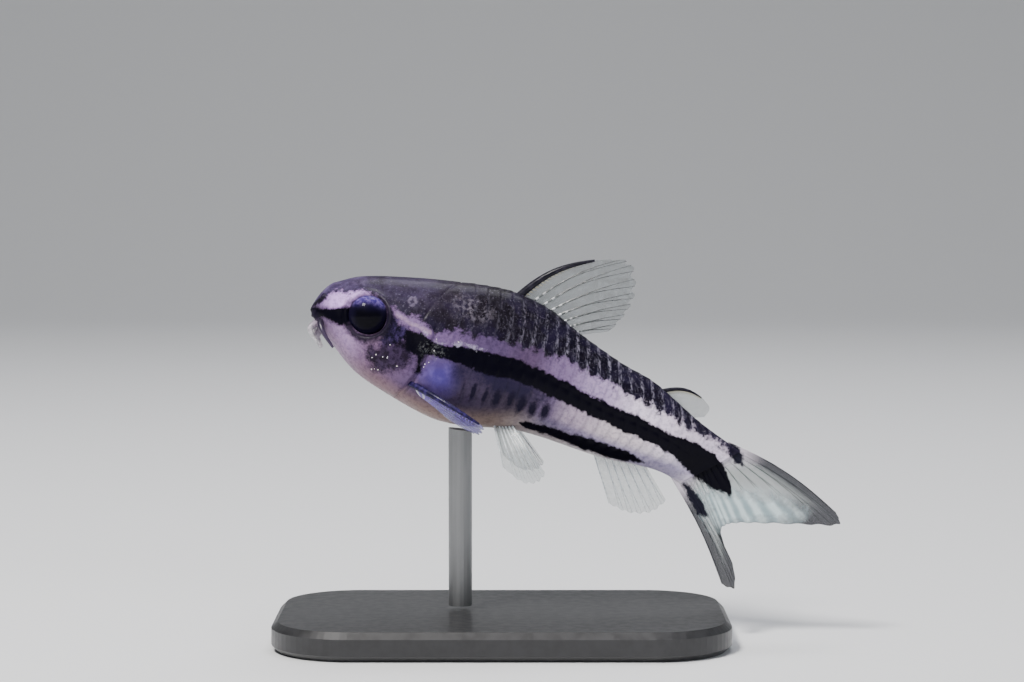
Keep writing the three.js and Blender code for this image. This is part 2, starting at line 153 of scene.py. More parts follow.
# Pearls: the cheek's own ones at (x, z), and the scattered ones' sizes and scarcity.
CHEEK_PEARLS = [(4.15, -1.05), (4.69, -0.8), (4.83, -0.1), (5.57, -1.03), (4.32, -1.7),
                (4.48, -1.62), (4.66, -1.58), (4.9, -0.72), (4.3, -0.82)]
CHEEK_PEARL_SIZE = 0.03
PEARL_SIZES = (0.01, 0.034)
PEARL_SCARCITY = 13


def through(stations):
    """A smooth curve through given stations of (place, value)."""
    places = np.array([s[0] for s in stations], float)
    values = np.array([s[1] for s in stations], float)
    before = np.r_[0, np.arange(len(places) - 1)]
    after = np.r_[np.arange(1, len(places)), len(places) - 1]
    slopes = (values[after] - values[before]) / (places[after] - places[before])

    def curve(x):
        x = np.clip(np.asarray(x, float), places[0], places[-1])
        i = np.clip(np.searchsorted(places, x) - 1, 0, len(places) - 2)
        span = places[i + 1] - places[i]
        t = (x - places[i]) / span
        u = 1 - t
        start = values[i] * (1 + 2 * t) + slopes[i] * span * t
        end = values[i + 1] * (3 - 2 * t) - slopes[i + 1] * span * u
        return start * u * u + end * t * t
    return curve


back_line = through(BACK_LINE)
belly_line = through(BELLY_LINE)
half_width = through(HALF_WIDTH)
widest_level = through(WIDEST_LEVEL)
row_groove = through(ROW_GROOVE)
stripe_top = through(STRIPE_TOP)
stripe_bottom = through(STRIPE_BOTTOM)
low_stripe_middle = through(LOW_STRIPE_MIDDLE)
low_stripe_half = through(LOW_STRIPE_HALF)
back_edge = through(BACK_EDGE)


def turned(points):
    """Fish frame to row frame, in millimetres and without the offset."""
    x, y, z = points[..., 0], points[..., 1], points[..., 2]
    c, s = math.cos(PITCH), math.sin(PITCH)
    return np.stack([x * c + z * s, y, z * c - x * s], -1)


# The snout tip's place follows from where the frame has the left eye.
eye_low, eye_high = (np.array(corner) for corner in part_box("eye_left"))
SNOUT = (eye_low + eye_high) / 2 - turned(np.array([EYE[0], -EYE[1], EYE[2]])) * MM


def placed(points):
    """Points of the fish frame, in millimetres, as points of the row frame, in metres."""
    return turned(np.asarray(points, float)) * MM + SNOUT


def mirrored(points):
    return [(x, -y, z) for x, y, z in points]


def bump(distance, width):
    return np.exp(-((distance / width) ** 2))


def smooth(x, low, high):
    t = np.clip((x - low) / (high - low), 0, 1)
    return t * t * (3 - 2 * t)


def between(x, low_start, low_end, high_start, high_end):
    """1 between two soft ends and 0 outside them."""
    return smooth(x, low_start, low_end) * (1 - smooth(x, high_start, high_end))


def body_surface(x, turn):
    """Plain skin without its relief, and how high on the section each point is."""
    rounding = np.clip(x / NOSE_ROUND, 0, 1)
    nose = np.sqrt(np.maximum(1 - (1 - rounding) ** 2, 0.0006))
    rise, side = np.sin(turn), np.cos(turn)
    closed = smooth(x, BODY_END - CLOSING_RUN, BODY_END) * CLOSED_SHARE
    closing = np.sqrt(np.clip(1 - closed, 0.02, 1))
    shear = smooth(x, TAIL_LEAN_START, BODY_END) * math.tan(TAIL_LEAN)
    place = x.copy()
    for _ in range(4):
        top = back_line(place) * nose
        bottom = belly_line(place) * nose
        level = bottom + (top - bottom) * widest_level(place)
        reach = np.where(rise > 0, top - level, level - bottom)
        z = level + reach * rise
        place = x + shear * (z - TAIL_LEVEL)
    fullness = np.where(rise > 0, BACK_FULLNESS, BELLY_FULLNESS)
    half = half_width(place) * nose * closing
    y = half * np.sign(side) * np.abs(side) ** fullness
    return np.stack([place, y, z], -1), rise


def plate_relief(x, rise):
    """The two rows of overlapping plates on each flank: their rise in millimetres, and a
    hatch that is 1 at the plates' rear edges and -1 between them."""
    groove = row_groove(x)
    upper = rise > groove
    across = np.where(upper, (rise - groove) / (1 - groove), (groove - rise) / (groove + 0.85))
    across = np.clip(across, 0, 1)
    start = np.where(upper, UPPER_PLATES_START, LOWER_PLATES_START)
    run = (x - start - 0.28 * np.sin(math.pi * across) + 0.5 * across) / PLATE_PITCH
    part = run - np.floor(run)
    ramp = np.where(part < PLATE_CREST, (part / PLATE_CREST) ** 1.3, (1 - part) / (1 - PLATE_CREST))
    reach = between(x, start - 0.1, start + 0.6, PLATES_END - 1.5, PLATES_END)
    edge = np.minimum(smooth(np.abs(rise - groove), 0.0, 0.07), smooth(rise, -0.88, -0.7))
    crown = 0.6 + 0.4 * np.sin(math.pi * across)
    return PLATE_RISE * ramp * reach * edge * crown, np.cos(2 * math.pi * part) * reach


def gill_distance(x, z):
    """Signed distance, in millimetres, behind the gill cover's rear edge."""
    ellipse = np.hypot((x - GILL_CENTRE[0]) / GILL_REACH[0], (z - GILL_CENTRE[1]) / GILL_REACH[1])
    return (ellipse - 1) * GILL_REACH[0]


def head_relief(points, rise):
    """Gill cover, cheek plate, eye rim, nostrils, lips and skull roof, in millimetres."""
    x, y, z = points[..., 0], np.abs(points[..., 1]), points[..., 2]
    gill = gill_distance(x, z)
    gill_zone = (1 - smooth(rise, 0.35, 0.6)) * smooth(rise, -0.97, -0.8)
    from_eye = np.hypot(x - EYE[0], z - EYE[2])
    on_side = smooth(y, 0.8, 1.3)
    from_nostrils = [np.linalg.norm(np.stack([x, y, z], -1) - place, axis=-1) for place in NOSTRILS]
    under = smooth(-rise, 0.05, 0.5)
    lip_length, lip_width, lip_scale = LIP_RING
    lip_ring = np.abs(np.hypot(y / lip_width, (x - MOUTH_X) / lip_length) - 1) * lip_scale
    mouth_line = x - MOUTH_X - 0.1 * (y / 0.5) ** 2
    nape = np.abs(x - 6.35 - 0.9 * (1 - y / 1.6))
    temple = np.abs(z - 2.35 - 0.16 * (x - 3))
    shapes = {
        "gill_cover": smooth(gill, -1.1, -0.06) * (gill < 0) * gill_zone,
        "gill_edge": (gill >= 0) * bump(gill, 0.07) * gill_zone,
        "gill_slit": bump(gill - 0.16, 0.12) * gill_zone,
        "cheek_plate": bump(gill + 2.0, 0.16) * between(z, -2.2, -1.4, 0.0, 0.5),
        "eye_rim": bump(from_eye - EYE_RIM_RADIUS, 0.14) * on_side,
        "eye_bed": (1 - smooth(from_eye, 0.84, 1.1)) * on_side,
        "nostril_rim": sum(bump(out - NOSTRIL_RADIUS, 0.07) for out in from_nostrils),
        "nostril": sum(bump(out, 0.08) for out in from_nostrils),
        "lips": bump(lip_ring, 0.13) * under,
        "mouth": bump(mouth_line, 0.07) * (1 - smooth(y, 0.45, 0.62)) * under,
        "skull_seam": bump(y, 0.06) * smooth(rise, 0.9, 0.97) * between(x, 2.2, 3, 4.6, 5),
        "nape_seam": bump(nape, 0.07) * smooth(rise, 0.45, 0.65),
        "temple": bump(temple, 0.1) * between(x, 4.3, 4.8, 5.8, 6.4),
        "shoulder": bump(np.hypot(x - 8.0, (z + 0.5) * 0.8), 0.9) * (rise < 0.4),
    }
    return sum(RISE[name] * shape for name, shape in shapes.items())


def surface_normals(grid, closed):
    """Unit normals of a grid of points, whose rows may close on themselves."""
    along = np.gradient(grid, axis=0)
    if closed:
        across = (np.roll(grid, -1, axis=1) - np.roll(grid, 1, axis=1)) / 2
    else:
        across = np.gradient(grid, axis=1)
    normal = np.cross(across, along)
    return normal / np.maximum(np.linalg.norm(normal, axis=-1, keepdims=True), 1e-9)


def within(x, z, corners):
    """Signed distance, in millimetres, inside an outline of (x, z) corners."""
    distance = np.full(np.shape(x), 1e9)
    inside = np.zeros(np.shape(x), bool)
    for (ax, az), (bx, bz) in zip(corners, corners[1:] + corners[:1]):
        wide, high = bx - ax, bz - az
        share = np.clip(((x - ax) * wide + (z - az) * high) / (wide ** 2 + high ** 2), 0, 1)
        distance = np.minimum(distance, np.hypot(x - ax - share * wide, z - az - share * high))
        if high:
            inside ^= ((az > z) != (bz > z)) & (x < wide * (z - az) / high + ax)
    return np.where(inside, distance, -distance)


def oval(x, z, middle_x, middle_z, radius, squeeze_x=1, squeeze_z=1):
    """Distance inside an oval mark."""
    return radius - np.hypot((x - middle_x) * squeeze_x, (z - middle_z) * squeeze_z)


def line(off, half, x, middle, reach):
    """Distance inside a thin line: how far off its middle, and how far along it."""
    return np.minimum(half - np.abs(off), reach - np.abs(x - middle))


def tick_field(x, z):
    """Distance inside the row of short bars above the belly."""
    run = (x - TICK_PLACE) / TICK_PITCH
    half = np.where(x > FRONT_TICKS_END, TICK_HALF, FRONT_TICK_HALF)
    off = TICK_PITCH * (run - np.round(run)) / half
    high = (z + 0.72 - 0.09 * (x - 11.2)) / TICK_HEIGHT
    return np.minimum(0.2 * (1 - np.hypot(off, high)), TICKS_REACH - np.abs(x - TICKS_MIDDLE))


def marking_fields(points):
    """Distances, in millimetres, inside the markings and a painted shadow, which the materials
    colour.
    """
    x, z = points[..., 0], points[..., 2]
    eye_x, eye_z = x - EYE[0], z - EYE[2]
    # The socket field is a painted shadow: a ring round the eye, kept to its rear and lower edge.
    socket = SOCKET_SHADOW_HALF - np.abs(oval(x, z, EYE[0], EYE[2], SOCKET_SHADOW_RADIUS))
    low_stripe = low_stripe_half(x) - np.abs(z - low_stripe_middle(x))
    in_low_stripe = (x > LOW_STRIPE_RUN[0]) & (x < LOW_STRIPE_RUN[1])
    fields = {
        "along": x,
        "height": z,
        "back": z - back_edge(x),
        "stripe": np.minimum.reduce([stripe_top(x) - z, z - stripe_bottom(x),
                                     x - STRIPE_RUN[0], STRIPE_RUN[1] - x]),
        "low_stripe": np.where(in_low_stripe, low_stripe, -1),
        "snout_stripe": np.minimum.reduce([0.17 + 0.4 * x - z, z + 0.12 + 0.3 * smooth(x, 1.0, 0.1),
                                           SNOUT_STRIPE_END - x]),
        "socket": np.minimum(socket, 0.2 * (eye_x - eye_z) + 0.3),
        "dusk": np.maximum.reduce([oval(x, z, *mark) for mark in DUSKY_OVALS]),
        "ticks": tick_field(x, z),
        "pale_line": line(z - 1.58 + 0.13 * (x - 4.5) - 0.05 * np.sin(3.3 * x), 0.07, x, 5.6, 1.1),
        "crystals": line(z - stripe_top(x) - 0.1, 0.01, x, 8.1, 1.7),
        "ring_spot": RING_SPOT_HALF - np.abs(oval(x, z, *RING_SPOT)),
    }
    fields.update({name: within(x, z, corners) for name, corners in OUTLINES.items()})
    fields.update({name: oval(x, z, *mark) for name, mark in OVALS.items()})
    return fields


def caudal_fields(points):
    """The flank's markings and the tail fin's own, for the tail fin."""
    x, z = points[..., 0], points[..., 2]
    fields = marking_fields(points)
    fields["stain"] = np.maximum(within(x, z, TAIL_BLOTCH), within(x, z, TAIL_STREAK))
    fields["white"] = within(x, z, TAIL_WHITE)
    return fields


def write_fields(mesh, fields):
    for name, values in fields.items():
        attribute = mesh.attributes.new(name, "FLOAT", "POINT")
        attribute.data.foreach_set("value", np.asarray(values, np.float32).ravel())


def in_scene(name, data):
    made = bpy.data.objects.new(name, data)
    bpy.context.scene.collection.objects.link(made)
    return made


def mesh_object(name, vertices, faces, material, fields):
    """A mesh in the row frame from fish-frame vertices."""
    mesh = bpy.data.meshes.new(name)
    mesh.from_pydata(placed(vertices).tolist(), [], [tuple(f) for f in faces])
    write_fields(mesh, fields)
    mesh.polygons.foreach_set("use_smooth", [True] * len(mesh.polygons))
    mesh.materials.append(material)
    mesh.validate()
    mesh.update()
    return in_scene(name, mesh)


def outward(piece):
    """Turns every face of a closed piece to point out of it."""
    work = bmesh.new()
    work.from_mesh(piece.data)
    bmesh.ops.recalc_face_normals(work, faces=work.faces)
    work.to_mesh(piece.data)
    work.free()
    return piece


def closed_faces(rings, sides):
    """Faces of a closed skin of rings, whose two poles are the last two vertices."""
    side = np.arange(sides)
    after = (side + 1) % sides
    ring = np.arange(rings - 1)[:, None] * sides
    a, b = (ring + side).ravel(), (ring + after).ravel()
    faces = np.stack([a, a + sides, b + sides, b], -1).tolist()
    pole, last = rings * sides, (rings - 1) * sides
    for s, n in zip(side.tolist(), after.tolist()):
        faces.append((pole, s, n))
        faces.append((pole + 1, last + n, last + s))
    return faces


def skin_piece(material):
    """The whole body's skin as one closed surface with its plates, lips, rims and nostrils."""
    share = np.linspace(0, 1, SKIN_RINGS)
    x = BODY_END * (0.004 + 0.996 * share) ** 1.4
    turn = np.linspace(0, 2 * math.pi, SKIN_SIDES, endpoint=False)
    grid_x, grid_turn = np.meshgrid(x, turn, indexing="ij")
    grid, rise = body_surface(grid_x, grid_turn)
    normal = surface_normals(grid, closed=True)
    outwards = grid - grid.mean(axis=1, keepdims=True)
    if (normal * outwards).sum() < 0:
        normal = -normal
    plates, hatch = plate_relief(grid[..., 0], rise)
    relief = head_relief(grid, rise) + plates
    relief[0] = 0
    raised = grid + normal * relief[..., None]
    ends = np.array([raised[0].mean(axis=0), raised[-1].mean(axis=0)])
    fields = marking_fields(np.vstack([grid.reshape(-1, 3), ends]))
    fields["rise"] = np.r_[rise.ravel(), 0, 0]
    fields["hatch"] = np.r_[hatch.ravel(), 0, 0]
    fields["back"] = fields["back"] - BACK_NOTCH * fields["hatch"]
    vertices = np.vstack([raised.reshape(-1, 3), ends])
    piece = mesh_object("skin", vertices, closed_faces(SKIN_RINGS, SKIN_SIDES), material, fields)
    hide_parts("head", "trunk", "tail")
    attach(piece, "root")
    return raised


class Tree:
    """Builds the nodes of a tree."""
    kind = "GeometryNodeTree"

    def __init__(self, tree):
        self.tree = tree

    def link(self, value, socket):
        """Links a node's output to a socket, or sets a plain value on the socket."""
        if isinstance(value, bpy.types.NodeSocket):
            self.tree.links.new(value, socket)
        elif socket.type == "RGBA" and len(value) == 3:
            socket.default_value = (*value, 1)
        else:
            socket.default_value = value

    def feed(self, node, **inputs):
        """Links or sets a node's inputs; an underscore stands for a space in a name."""
        for name, value in inputs.items():
            self.link(value, node.inputs[name.replace("_", " ")])

    def node(self, kind, settings=None, **inputs):
        made = self.tree.nodes.new(kind)
        for name, value in (settings or {}).items():
            setattr(made, name, value)
        self.feed(made, **inputs)
        return made

    def realized(self, geometry, finish, result):
        """Ends a Geometry Nodes tree in plain meshes with their material."""
        realize = self.node("GeometryNodeRealizeInstances", Geometry=geometry)
        dressed = self.node("GeometryNodeSetMaterial", Material=finish,
                            Geometry=realize.outputs["Geometry"])
        self.link(dressed.outputs["Geometry"], result)
        return self.tree


class Shading(Tree):
    """Builds the nodes of one material or one shader node group."""
    kind = "ShaderNodeTree"

    def math(self, operation, *values, clamp=False):
        made = self.node("ShaderNodeMath", {"operation": operation, "use_clamp": clamp})
        for value, socket in zip(values, made.inputs):
            self.link(value, socket)
        return made.outputs[0]

    def times(self, value, *others):
        for other in others:
            value = self.math("MULTIPLY", value, other)
        return value

    def field(self, name):
        return self.node("ShaderNodeAttribute", {"attribute_name": name}).outputs["Fac"]

    def noise(self, scale, detail=3.0, roughness=0.55, stretch=None, tilt=0.0):
        place = self.node("ShaderNodeTexCoord").outputs["Object"]
        if stretch:
            mapping = self.node("ShaderNodeMapping", Vector=place,
                                Scale=stretch, Rotation=(0, tilt, 0))
            place = mapping.outputs["Vector"]
        made = self.node("ShaderNodeTexNoise", Vector=place,
                         Scale=scale, Detail=detail, Roughness=roughness)
        return made.outputs["Fac"]

    def mix(self, share, a, b, blend="MIX"):
        settings = {"data_type": "RGBA", "blend_type": blend}
        return self.node("ShaderNodeMix", settings, Factor=share, A=a, B=b).outputs["Result"]

    def ramp(self, value, stops):
        made = self.node("ShaderNodeValToRGB", Fac=value)
        made.color_ramp.interpolation = "EASE"
        elements = made.color_ramp.elements
        while len(elements) < len(stops):
            elements.new(0.5)
        for element, (position, color) in zip(elements, stops):
            element.position = position
            element.color = (*color, 1)
        return made.outputs["Color"]

    def span(self, value, low, high, to_low=0.0, to_high=1.0):
        made = self.node("ShaderNodeMapRange", {"interpolation_type": "SMOOTHSTEP"}, Value=value,
                         From_Min=low, From_Max=high, To_Min=to_low, To_Max=to_high)
        return made.outputs["Result"]

    def bump(self, height, strength, distance):
        made = self.node("ShaderNodeBump", Height=height, Strength=strength, Distance=distance)
        return made.outputs["Normal"]

    def mask(self, field, grain, softness):
        """A marking's mask with a grainy edge, from the field of distances inside it."""
        made = self.node("ShaderNodeGroup", {"node_tree": RAGGED_EDGE},
                         Inside=self.field(field), Grain=grain, Softness=softness)
        return made.outputs["Mask"]


class Finish(Shading):
    """Builds a material around one Principled BSDF."""

    def __init__(self, name):
        self.material = bpy.data.materials.new(name)
        self.material.use_nodes = True
        super().__init__(self.material.node_tree)

    def shader(self, **inputs):
        """The material, with these inputs of its shader linked or set."""
        self.feed(self.tree.nodes["Principled BSDF"], **inputs)
        return self.material


def node_group(builder, name, inputs, output):
    """An empty node group's builder, inputs and output. Each input has a type or, as a plain
    number, the value it starts from."""
    tree = bpy.data.node_groups.new(name, builder.kind)
    for label, given in inputs.items():
        kind = given if isinstance(given, str) else "Float"
        socket = tree.interface.new_socket(label, in_out="INPUT", socket_type="NodeSocket" + kind)
        if kind == "Float":
            socket.default_value = given
    label, kind = output
    tree.interface.new_socket(label, in_out="OUTPUT", socket_type="NodeSocket" + kind)
    group = builder(tree)
    return group, group.node("NodeGroupInput").outputs, group.node("NodeGroupOutput").inputs[label]


def ragged_edge_group():
    """Turns a distance inside a marking into a mask with the grainy edge of pigment cells."""
    group, given, mask = node_group(
        Shading, "ragged_edge", {"Inside": 0, "Grain": 0.16, "Softness": 0.12}, ("Mask", "Float"))
    fine = group.math("SUBTRACT", group.noise(5200, 4, 0.7), 0.5)
    broad = group.math("SUBTRACT", group.noise(1500, 2, 0.5), 0.5)
    rough = group.times(group.math("ADD", fine, broad), given["Grain"], 3.0)
    share = group.math("DIVIDE", group.math("ADD", given["Inside"], rough), given["Softness"])
    group.link(group.math("ADD", share, 0.5, clamp=True), mask)
    return group.tree


def flecks_group():
    """Small bright flecks where crystals in the skin catch the light."""
    group, given, mask = node_group(
        Shading, "flecks", {"Size": 9000, "Sparseness": 0.62}, ("Mask", "Float"))
    cells = group.noise(given["Size"], 2, 0.7)
    above = group.math("SUBTRACT", cells, given["Sparseness"])
    group.link(group.math("MULTIPLY", above, 12.0, clamp=True), mask)
    return group.tree


RAGGED_EDGE = ragged_edge_group()
FLECKS = flecks_group()

# Skin colours: pigments, shades that are multiplied in, and ramps from head to tail, at
# shares of COLOR_LENGTH.
BLACK = (0.0015, 0.0012, 0.0045)
TICK_BLACK = (0.006, 0.004, 0.016)
NAVY = (0.01, 0.008, 0.03)
# A painted shadow, dark in the eye's socket at its rear and lower edge.
SOCKET_SHADOW = (0.008, 0.006, 0.014)
LIP_DARK = (0.012, 0.009, 0.022)
BEHIND_EYE = ((0.003, 0.0025, 0.009), (0.036, 0.023, 0.078))
CHEEK_DARK = ((0.005, 0.0035, 0.009), (0.036, 0.023, 0.055))
BLUE_PATCH = ((0.06, 0.04, 0.21), (0.12, 0.085, 0.32))
ASH = (0.3, 0.31, 0.32)
PALE_LINE = (0.4, 0.28, 0.38)
CRYSTALS = (0.44, 0.39, 0.55)
RING_GREY = (0.22, 0.18, 0.27)
BACK_DARK = (0.005, 0.0036, 0.0085)
BACK_GREY = (0.24, 0.22, 0.29)
BACK_VIOLET = (0.02, 0.014, 0.045)
BACK_MOTTLE = (0.2, 0.175, 0.22)
BACK_CRYSTALS = (0.34, 0.3, 0.42)
LOW_SHADE = (0.4, 0.38, 0.6)
MOTTLE_SHADE = (0.45, 0.42, 0.5)
CLOUD_SHADE = (0.42, 0.38, 0.42)
COLOR_LENGTH = 25.0
LOW_FLANK = [
    (0.0, (0.1, 0.07, 0.13)), (0.1, (0.34, 0.22, 0.4)), (0.16, (0.19, 0.115, 0.2)),
    (0.27, (0.11, 0.07, 0.15)), (0.37, (0.05, 0.036, 0.07)), (0.5, (0.05, 0.036, 0.058)),
    (0.56, (0.14, 0.1, 0.18)), (0.62, (0.42, 0.33, 0.43)), (0.72, (0.66, 0.57, 0.62)),
    (0.9, (0.76, 0.68, 0.82))]
HIGH_FLANK = [
    (0.0, (0.16, 0.11, 0.24)), (0.05, (0.6, 0.36, 0.8)), (0.1, (0.62, 0.38, 0.8)),
    (0.16, (0.24, 0.15, 0.3)), (0.28, (0.16, 0.1, 0.22)), (0.4, (0.085, 0.056, 0.125)),
    (0.49, (0.095, 0.06, 0.12)), (0.56, (0.2, 0.135, 0.26)), (0.66, (0.4, 0.3, 0.49)),
    (0.76, (0.8, 0.69, 0.86)), (0.9, (0.68, 0.59, 0.72))]
BELLY = [
    (0.02, (0.13, 0.09, 0.15)), (0.08, (0.34, 0.23, 0.36)), (0.2, (0.27, 0.17, 0.2)),
    (0.32, (0.3, 0.21, 0.19)), (0.45, (0.19, 0.14, 0.12)), (0.58, (0.42, 0.37, 0.38)),
    (0.7, (0.7, 0.64, 0.67))]
# The back's top from head to tail: its own dark tone, lightened on the head by a painted soft
# sheen.
CROWN_TONE_AND_SHEEN = [
    (0.0, (0.12, 0.09, 0.2)), (0.07, (0.09, 0.066, 0.14)), (0.11, (0.04, 0.03, 0.062)),
    (0.2, (0.045, 0.033, 0.068)), (0.28, (0.022, 0.016, 0.028)), (0.38, (0.007, 0.005, 0.01)),
    (0.55, (0.006, 0.005, 0.013)), (0.9, (0.012, 0.01, 0.024))]

# Colours of the eye, the fins and the small parts.
PUPIL = ((0.002, 0.0018, 0.004), (0.008, 0.005, 0.03))
IRIS_DARK = (0.006, 0.0045, 0.016)
IRIS_BLUE = ((0.035, 0.02, 0.15), (0.2, 0.14, 0.42))
EYE_RING = (0.02, 0.014, 0.03)
MEMBRANE_PALE = (0.6, 0.66, 0.72)
TAIL_CLEAR = (0.2, 0.23, 0.225)
TAIL_DUSKY = (0.02, 0.021, 0.03)
TAIL_AQUA = ((0.3, 0.4, 0.43), (0.66, 0.78, 0.8))
TAIL_ROOT = (0.66, 0.6, 0.68)
TAIL_STAIN = (0.009, 0.009, 0.018)
TAIL_LIT = (0.7, 0.8, 0.84)
RAY_BEAD = (0.85, 0.87, 0.9)
BARBEL_MOTTLE = (0.03, 0.022, 0.04)
PEARL_TONES = ((0.9, 0.86, 0.98), (0.98, 0.95, 0.88))
PAINT = [(0.3, (0.012, 0.012, 0.013)), (0.7, (0.022, 0.022, 0.024))]
STEEL = [(0.3, (0.26, 0.265, 0.27)), (0.7, (0.3, 0.305, 0.31))]
FINE_BUMP = 0.00003
RAY_BUMP = 0.00005


def body_colors(skin, along):
    """The flank's and belly's ground colours from head to tail."""
    height = skin.field("height")
    low_flank, high_flank = skin.ramp(along, LOW_FLANK), skin.ramp(along, HIGH_FLANK)
    color = skin.mix(skin.span(height, 0.2, 0.8), low_flank, high_flank)
    color = skin.mix(skin.span(skin.field("rise"), -0.4, -0.85), color, skin.ramp(along, BELLY))
    low = skin.math("MINIMUM", skin.span(height, -0.5, -1.05), skin.span(height, -1.8, -1.45))
    shade = skin.times(low, skin.span(along, 0.5, 0.58, 0.0, 0.8), skin.span(along, 0.96, 0.86))
    color = skin.mix(shade, color, LOW_SHADE, "MULTIPLY")
    mottle = skin.span(skin.noise(4600, 5, 0.72), 0.4, 0.68, 0.0, 0.66)
    return skin.mix(mottle, color, MOTTLE_SHADE, "MULTIPLY")


def back_colors(skin, along, flecks):
    """Dark back with broken pale hatches at the plates' edges and mottles behind the head."""
    rise = skin.field("rise")
    clouds = skin.span(skin.noise(1900, 5, 0.68), 0.36, 0.64, 1.0, 0.0)
    crown = skin.mix(clouds, skin.ramp(along, CROWN_TONE_AND_SHEEN), CLOUD_SHADE, "MULTIPLY")
    # The head's top is painted lighter than the back's sides: a painted soft sheen over its own
    # tone.
    color = skin.mix(skin.span(rise, 0.4, 0.85), BACK_DARK, crown)
    rearwards = skin.span(along, 0.38, 0.56, 0.15, 0.85)
    broken = skin.span(skin.noise(5200, 5, 0.7, (1.5, 1.0, 0.6), -PITCH), 0.44, 0.62)
    hatches = skin.times(skin.span(skin.field("hatch"), 0.1, 0.95), broken, rearwards)
    streaks = skin.span(skin.noise(3600, 4, 0.65, (1.8, 1.0, 0.35), -PITCH), 0.52, 0.74)
    pale = skin.math("MAXIMUM", hatches, skin.times(streaks, rearwards, 0.35))
    color = skin.mix(pale, color, BACK_GREY)
    color = skin.mix(skin.span(skin.noise(900, 2), 0.45, 0.65, 0.0, 0.3), color, BACK_VIOLET)
    patches = skin.span(skin.noise(3000, 5, 0.72), 0.47, 0.62)
    mottled = skin.times(skin.span(skin.field("mottle"), 0.0, 0.8, 0.03, 0.5), patches)
    color = skin.mix(mottled, color, BACK_MOTTLE)
    crystal = skin.times(flecks, skin.span(rise, 0.3, 0.8, 0.06, 0.16))
    return skin.mix(crystal, color, BACK_CRYSTALS)


def skin_material():
    skin = Finish("body_skin")
    along = skin.math("DIVIDE", skin.field("along"), COLOR_LENGTH)
    crystals = skin.node("ShaderNodeGroup", {"node_tree": FLECKS}, Size=8200, Sparseness=0.6)
    flecks = crystals.outputs["Mask"]
    coarse = skin.span(skin.noise(3400, 4, 0.7), 0.38, 0.66)
    broad = skin.span(skin.noise(1500, 3), 0.35, 0.7)
    ashen = skin.span(skin.noise(7600, 4, 0.7), 0.48, 0.68, 0.0, 0.4)
    # Each marking's field, pigment, grain, softness and strength, in the order they are laid.
    markings = [
        ("behind_eye", skin.mix(coarse, *BEHIND_EYE), 0.25, 0.4, 1.0),
        ("cheek", skin.mix(coarse, *CHEEK_DARK), 0.3, 0.4, 0.94),
        # The socket's colour is no pigment but a painted shadow round the eye's rear and lower
        # edge.
        ("socket", SOCKET_SHADOW, 0.12, 0.3, 0.95),
        ("blue", skin.mix(broad, *BLUE_PATCH), 0.15, 1.0, 0.9),
        ("dusk", NAVY, 0.3, 0.6, 0.8),
        ("stripe", BLACK, 0.14, 0.12, 1.0),
        ("low_stripe", BLACK, 0.12, 0.12, 1.0),
        ("gill_patch", BLACK, 0.16, 0.2, 1.0),
        ("snout_stripe", BLACK, 0.13, 0.2, 1.0),
        ("lip", LIP_DARK, 0.12, 0.25, 0.9),
        ("ticks", TICK_BLACK, 0.08, 0.16, 1.0),
        ("glitter", ASH, 0.2, 0.5, ashen),
        ("back", back_colors(skin, along, flecks), 0.32, 0.28, 1.0),
        ("pale_line", PALE_LINE, 0.16, 0.14, 0.55),
        ("crystals", CRYSTALS, 0.24, 0.16, 0.55),
        ("ring_spot", RING_GREY, 0.14, 0.12, 0.5),
    ]
    color, masks = body_colors(skin, along), {}
    for field, pigment, grain, softness, strength in markings:
        masks[field] = skin.mask(field, grain, softness)
        color = skin.mix(skin.times(masks[field], strength), color, pigment)
    off_back = skin.math("SUBTRACT", 1.0, masks["back"], clamp=True)
    return skin.shader(
        Base_Color=color, Metallic=skin.times(off_back, flecks, 0.3),
        Roughness=skin.span(skin.noise(3000, 3), 0.3, 0.7, 0.34, 0.5),
        Normal=skin.bump(skin.noise(16000, 3, 0.6), 0.3, FINE_BUMP),
        Coat_Weight=0.06, Coat_Roughness=0.14, Specular_IOR_Level=0.05,
        Subsurface_Weight=0.03, Subsurface_Radius=(0.0006, 0.0003, 0.0002))


def eye_material():
    eye = Finish("eye_wet")
    top = eye.field("top")
    grain = eye.times(eye.math("SUBTRACT", eye.noise(4000, 4, 0.7), 0.5), 0.16)
    edge = eye.math("ADD", eye.field("out"), grain)
    iris = eye.span(edge, 0.45, 0.92)
    color = eye.mix(iris, eye.mix(eye.span(top, 0.1, 0.9), *PUPIL), IRIS_DARK)
    blue = eye.mix(eye.span(eye.noise(5000, 4, 0.7), 0.35, 0.7), *IRIS_BLUE)
    color = eye.mix(eye.times(iris, eye.span(top, 0.28, 0.9)), color, blue)
    color = eye.mix(eye.span(edge, 0.93, 1.04), color, EYE_RING)
    return eye.shader(Base_Color=color, Roughness=0.4, Specular_IOR_Level=0.02,
                      Coat_Weight=0.09, Coat_Roughness=0.03)


def membrane_material(name, tint, clearness):
    """Clear fin membrane, fuller at its root."""
    fin = Finish(name)
    streaks = fin.noise(3600, 4, 0.6)
    uneven = fin.times(fin.math("SUBTRACT", streaks, 0.5), 0.2)
    fuller = fin.span(fin.field("run"), 0.0, 0.4, clearness + 0.22, clearness)
    return fin.shader(
        Base_Color=fin.mix(fin.span(streaks, 0.35, 0.65, 0.0, 0.3), tint, MEMBRANE_PALE),
        Alpha=fin.math("ADD", fuller, uneven, clamp=True),
        Normal=fin.bump(fin.field("ray"), 0.5, RAY_BUMP),
        Roughness=0.24, Coat_Weight=0.3, Coat_Roughness=0.1)


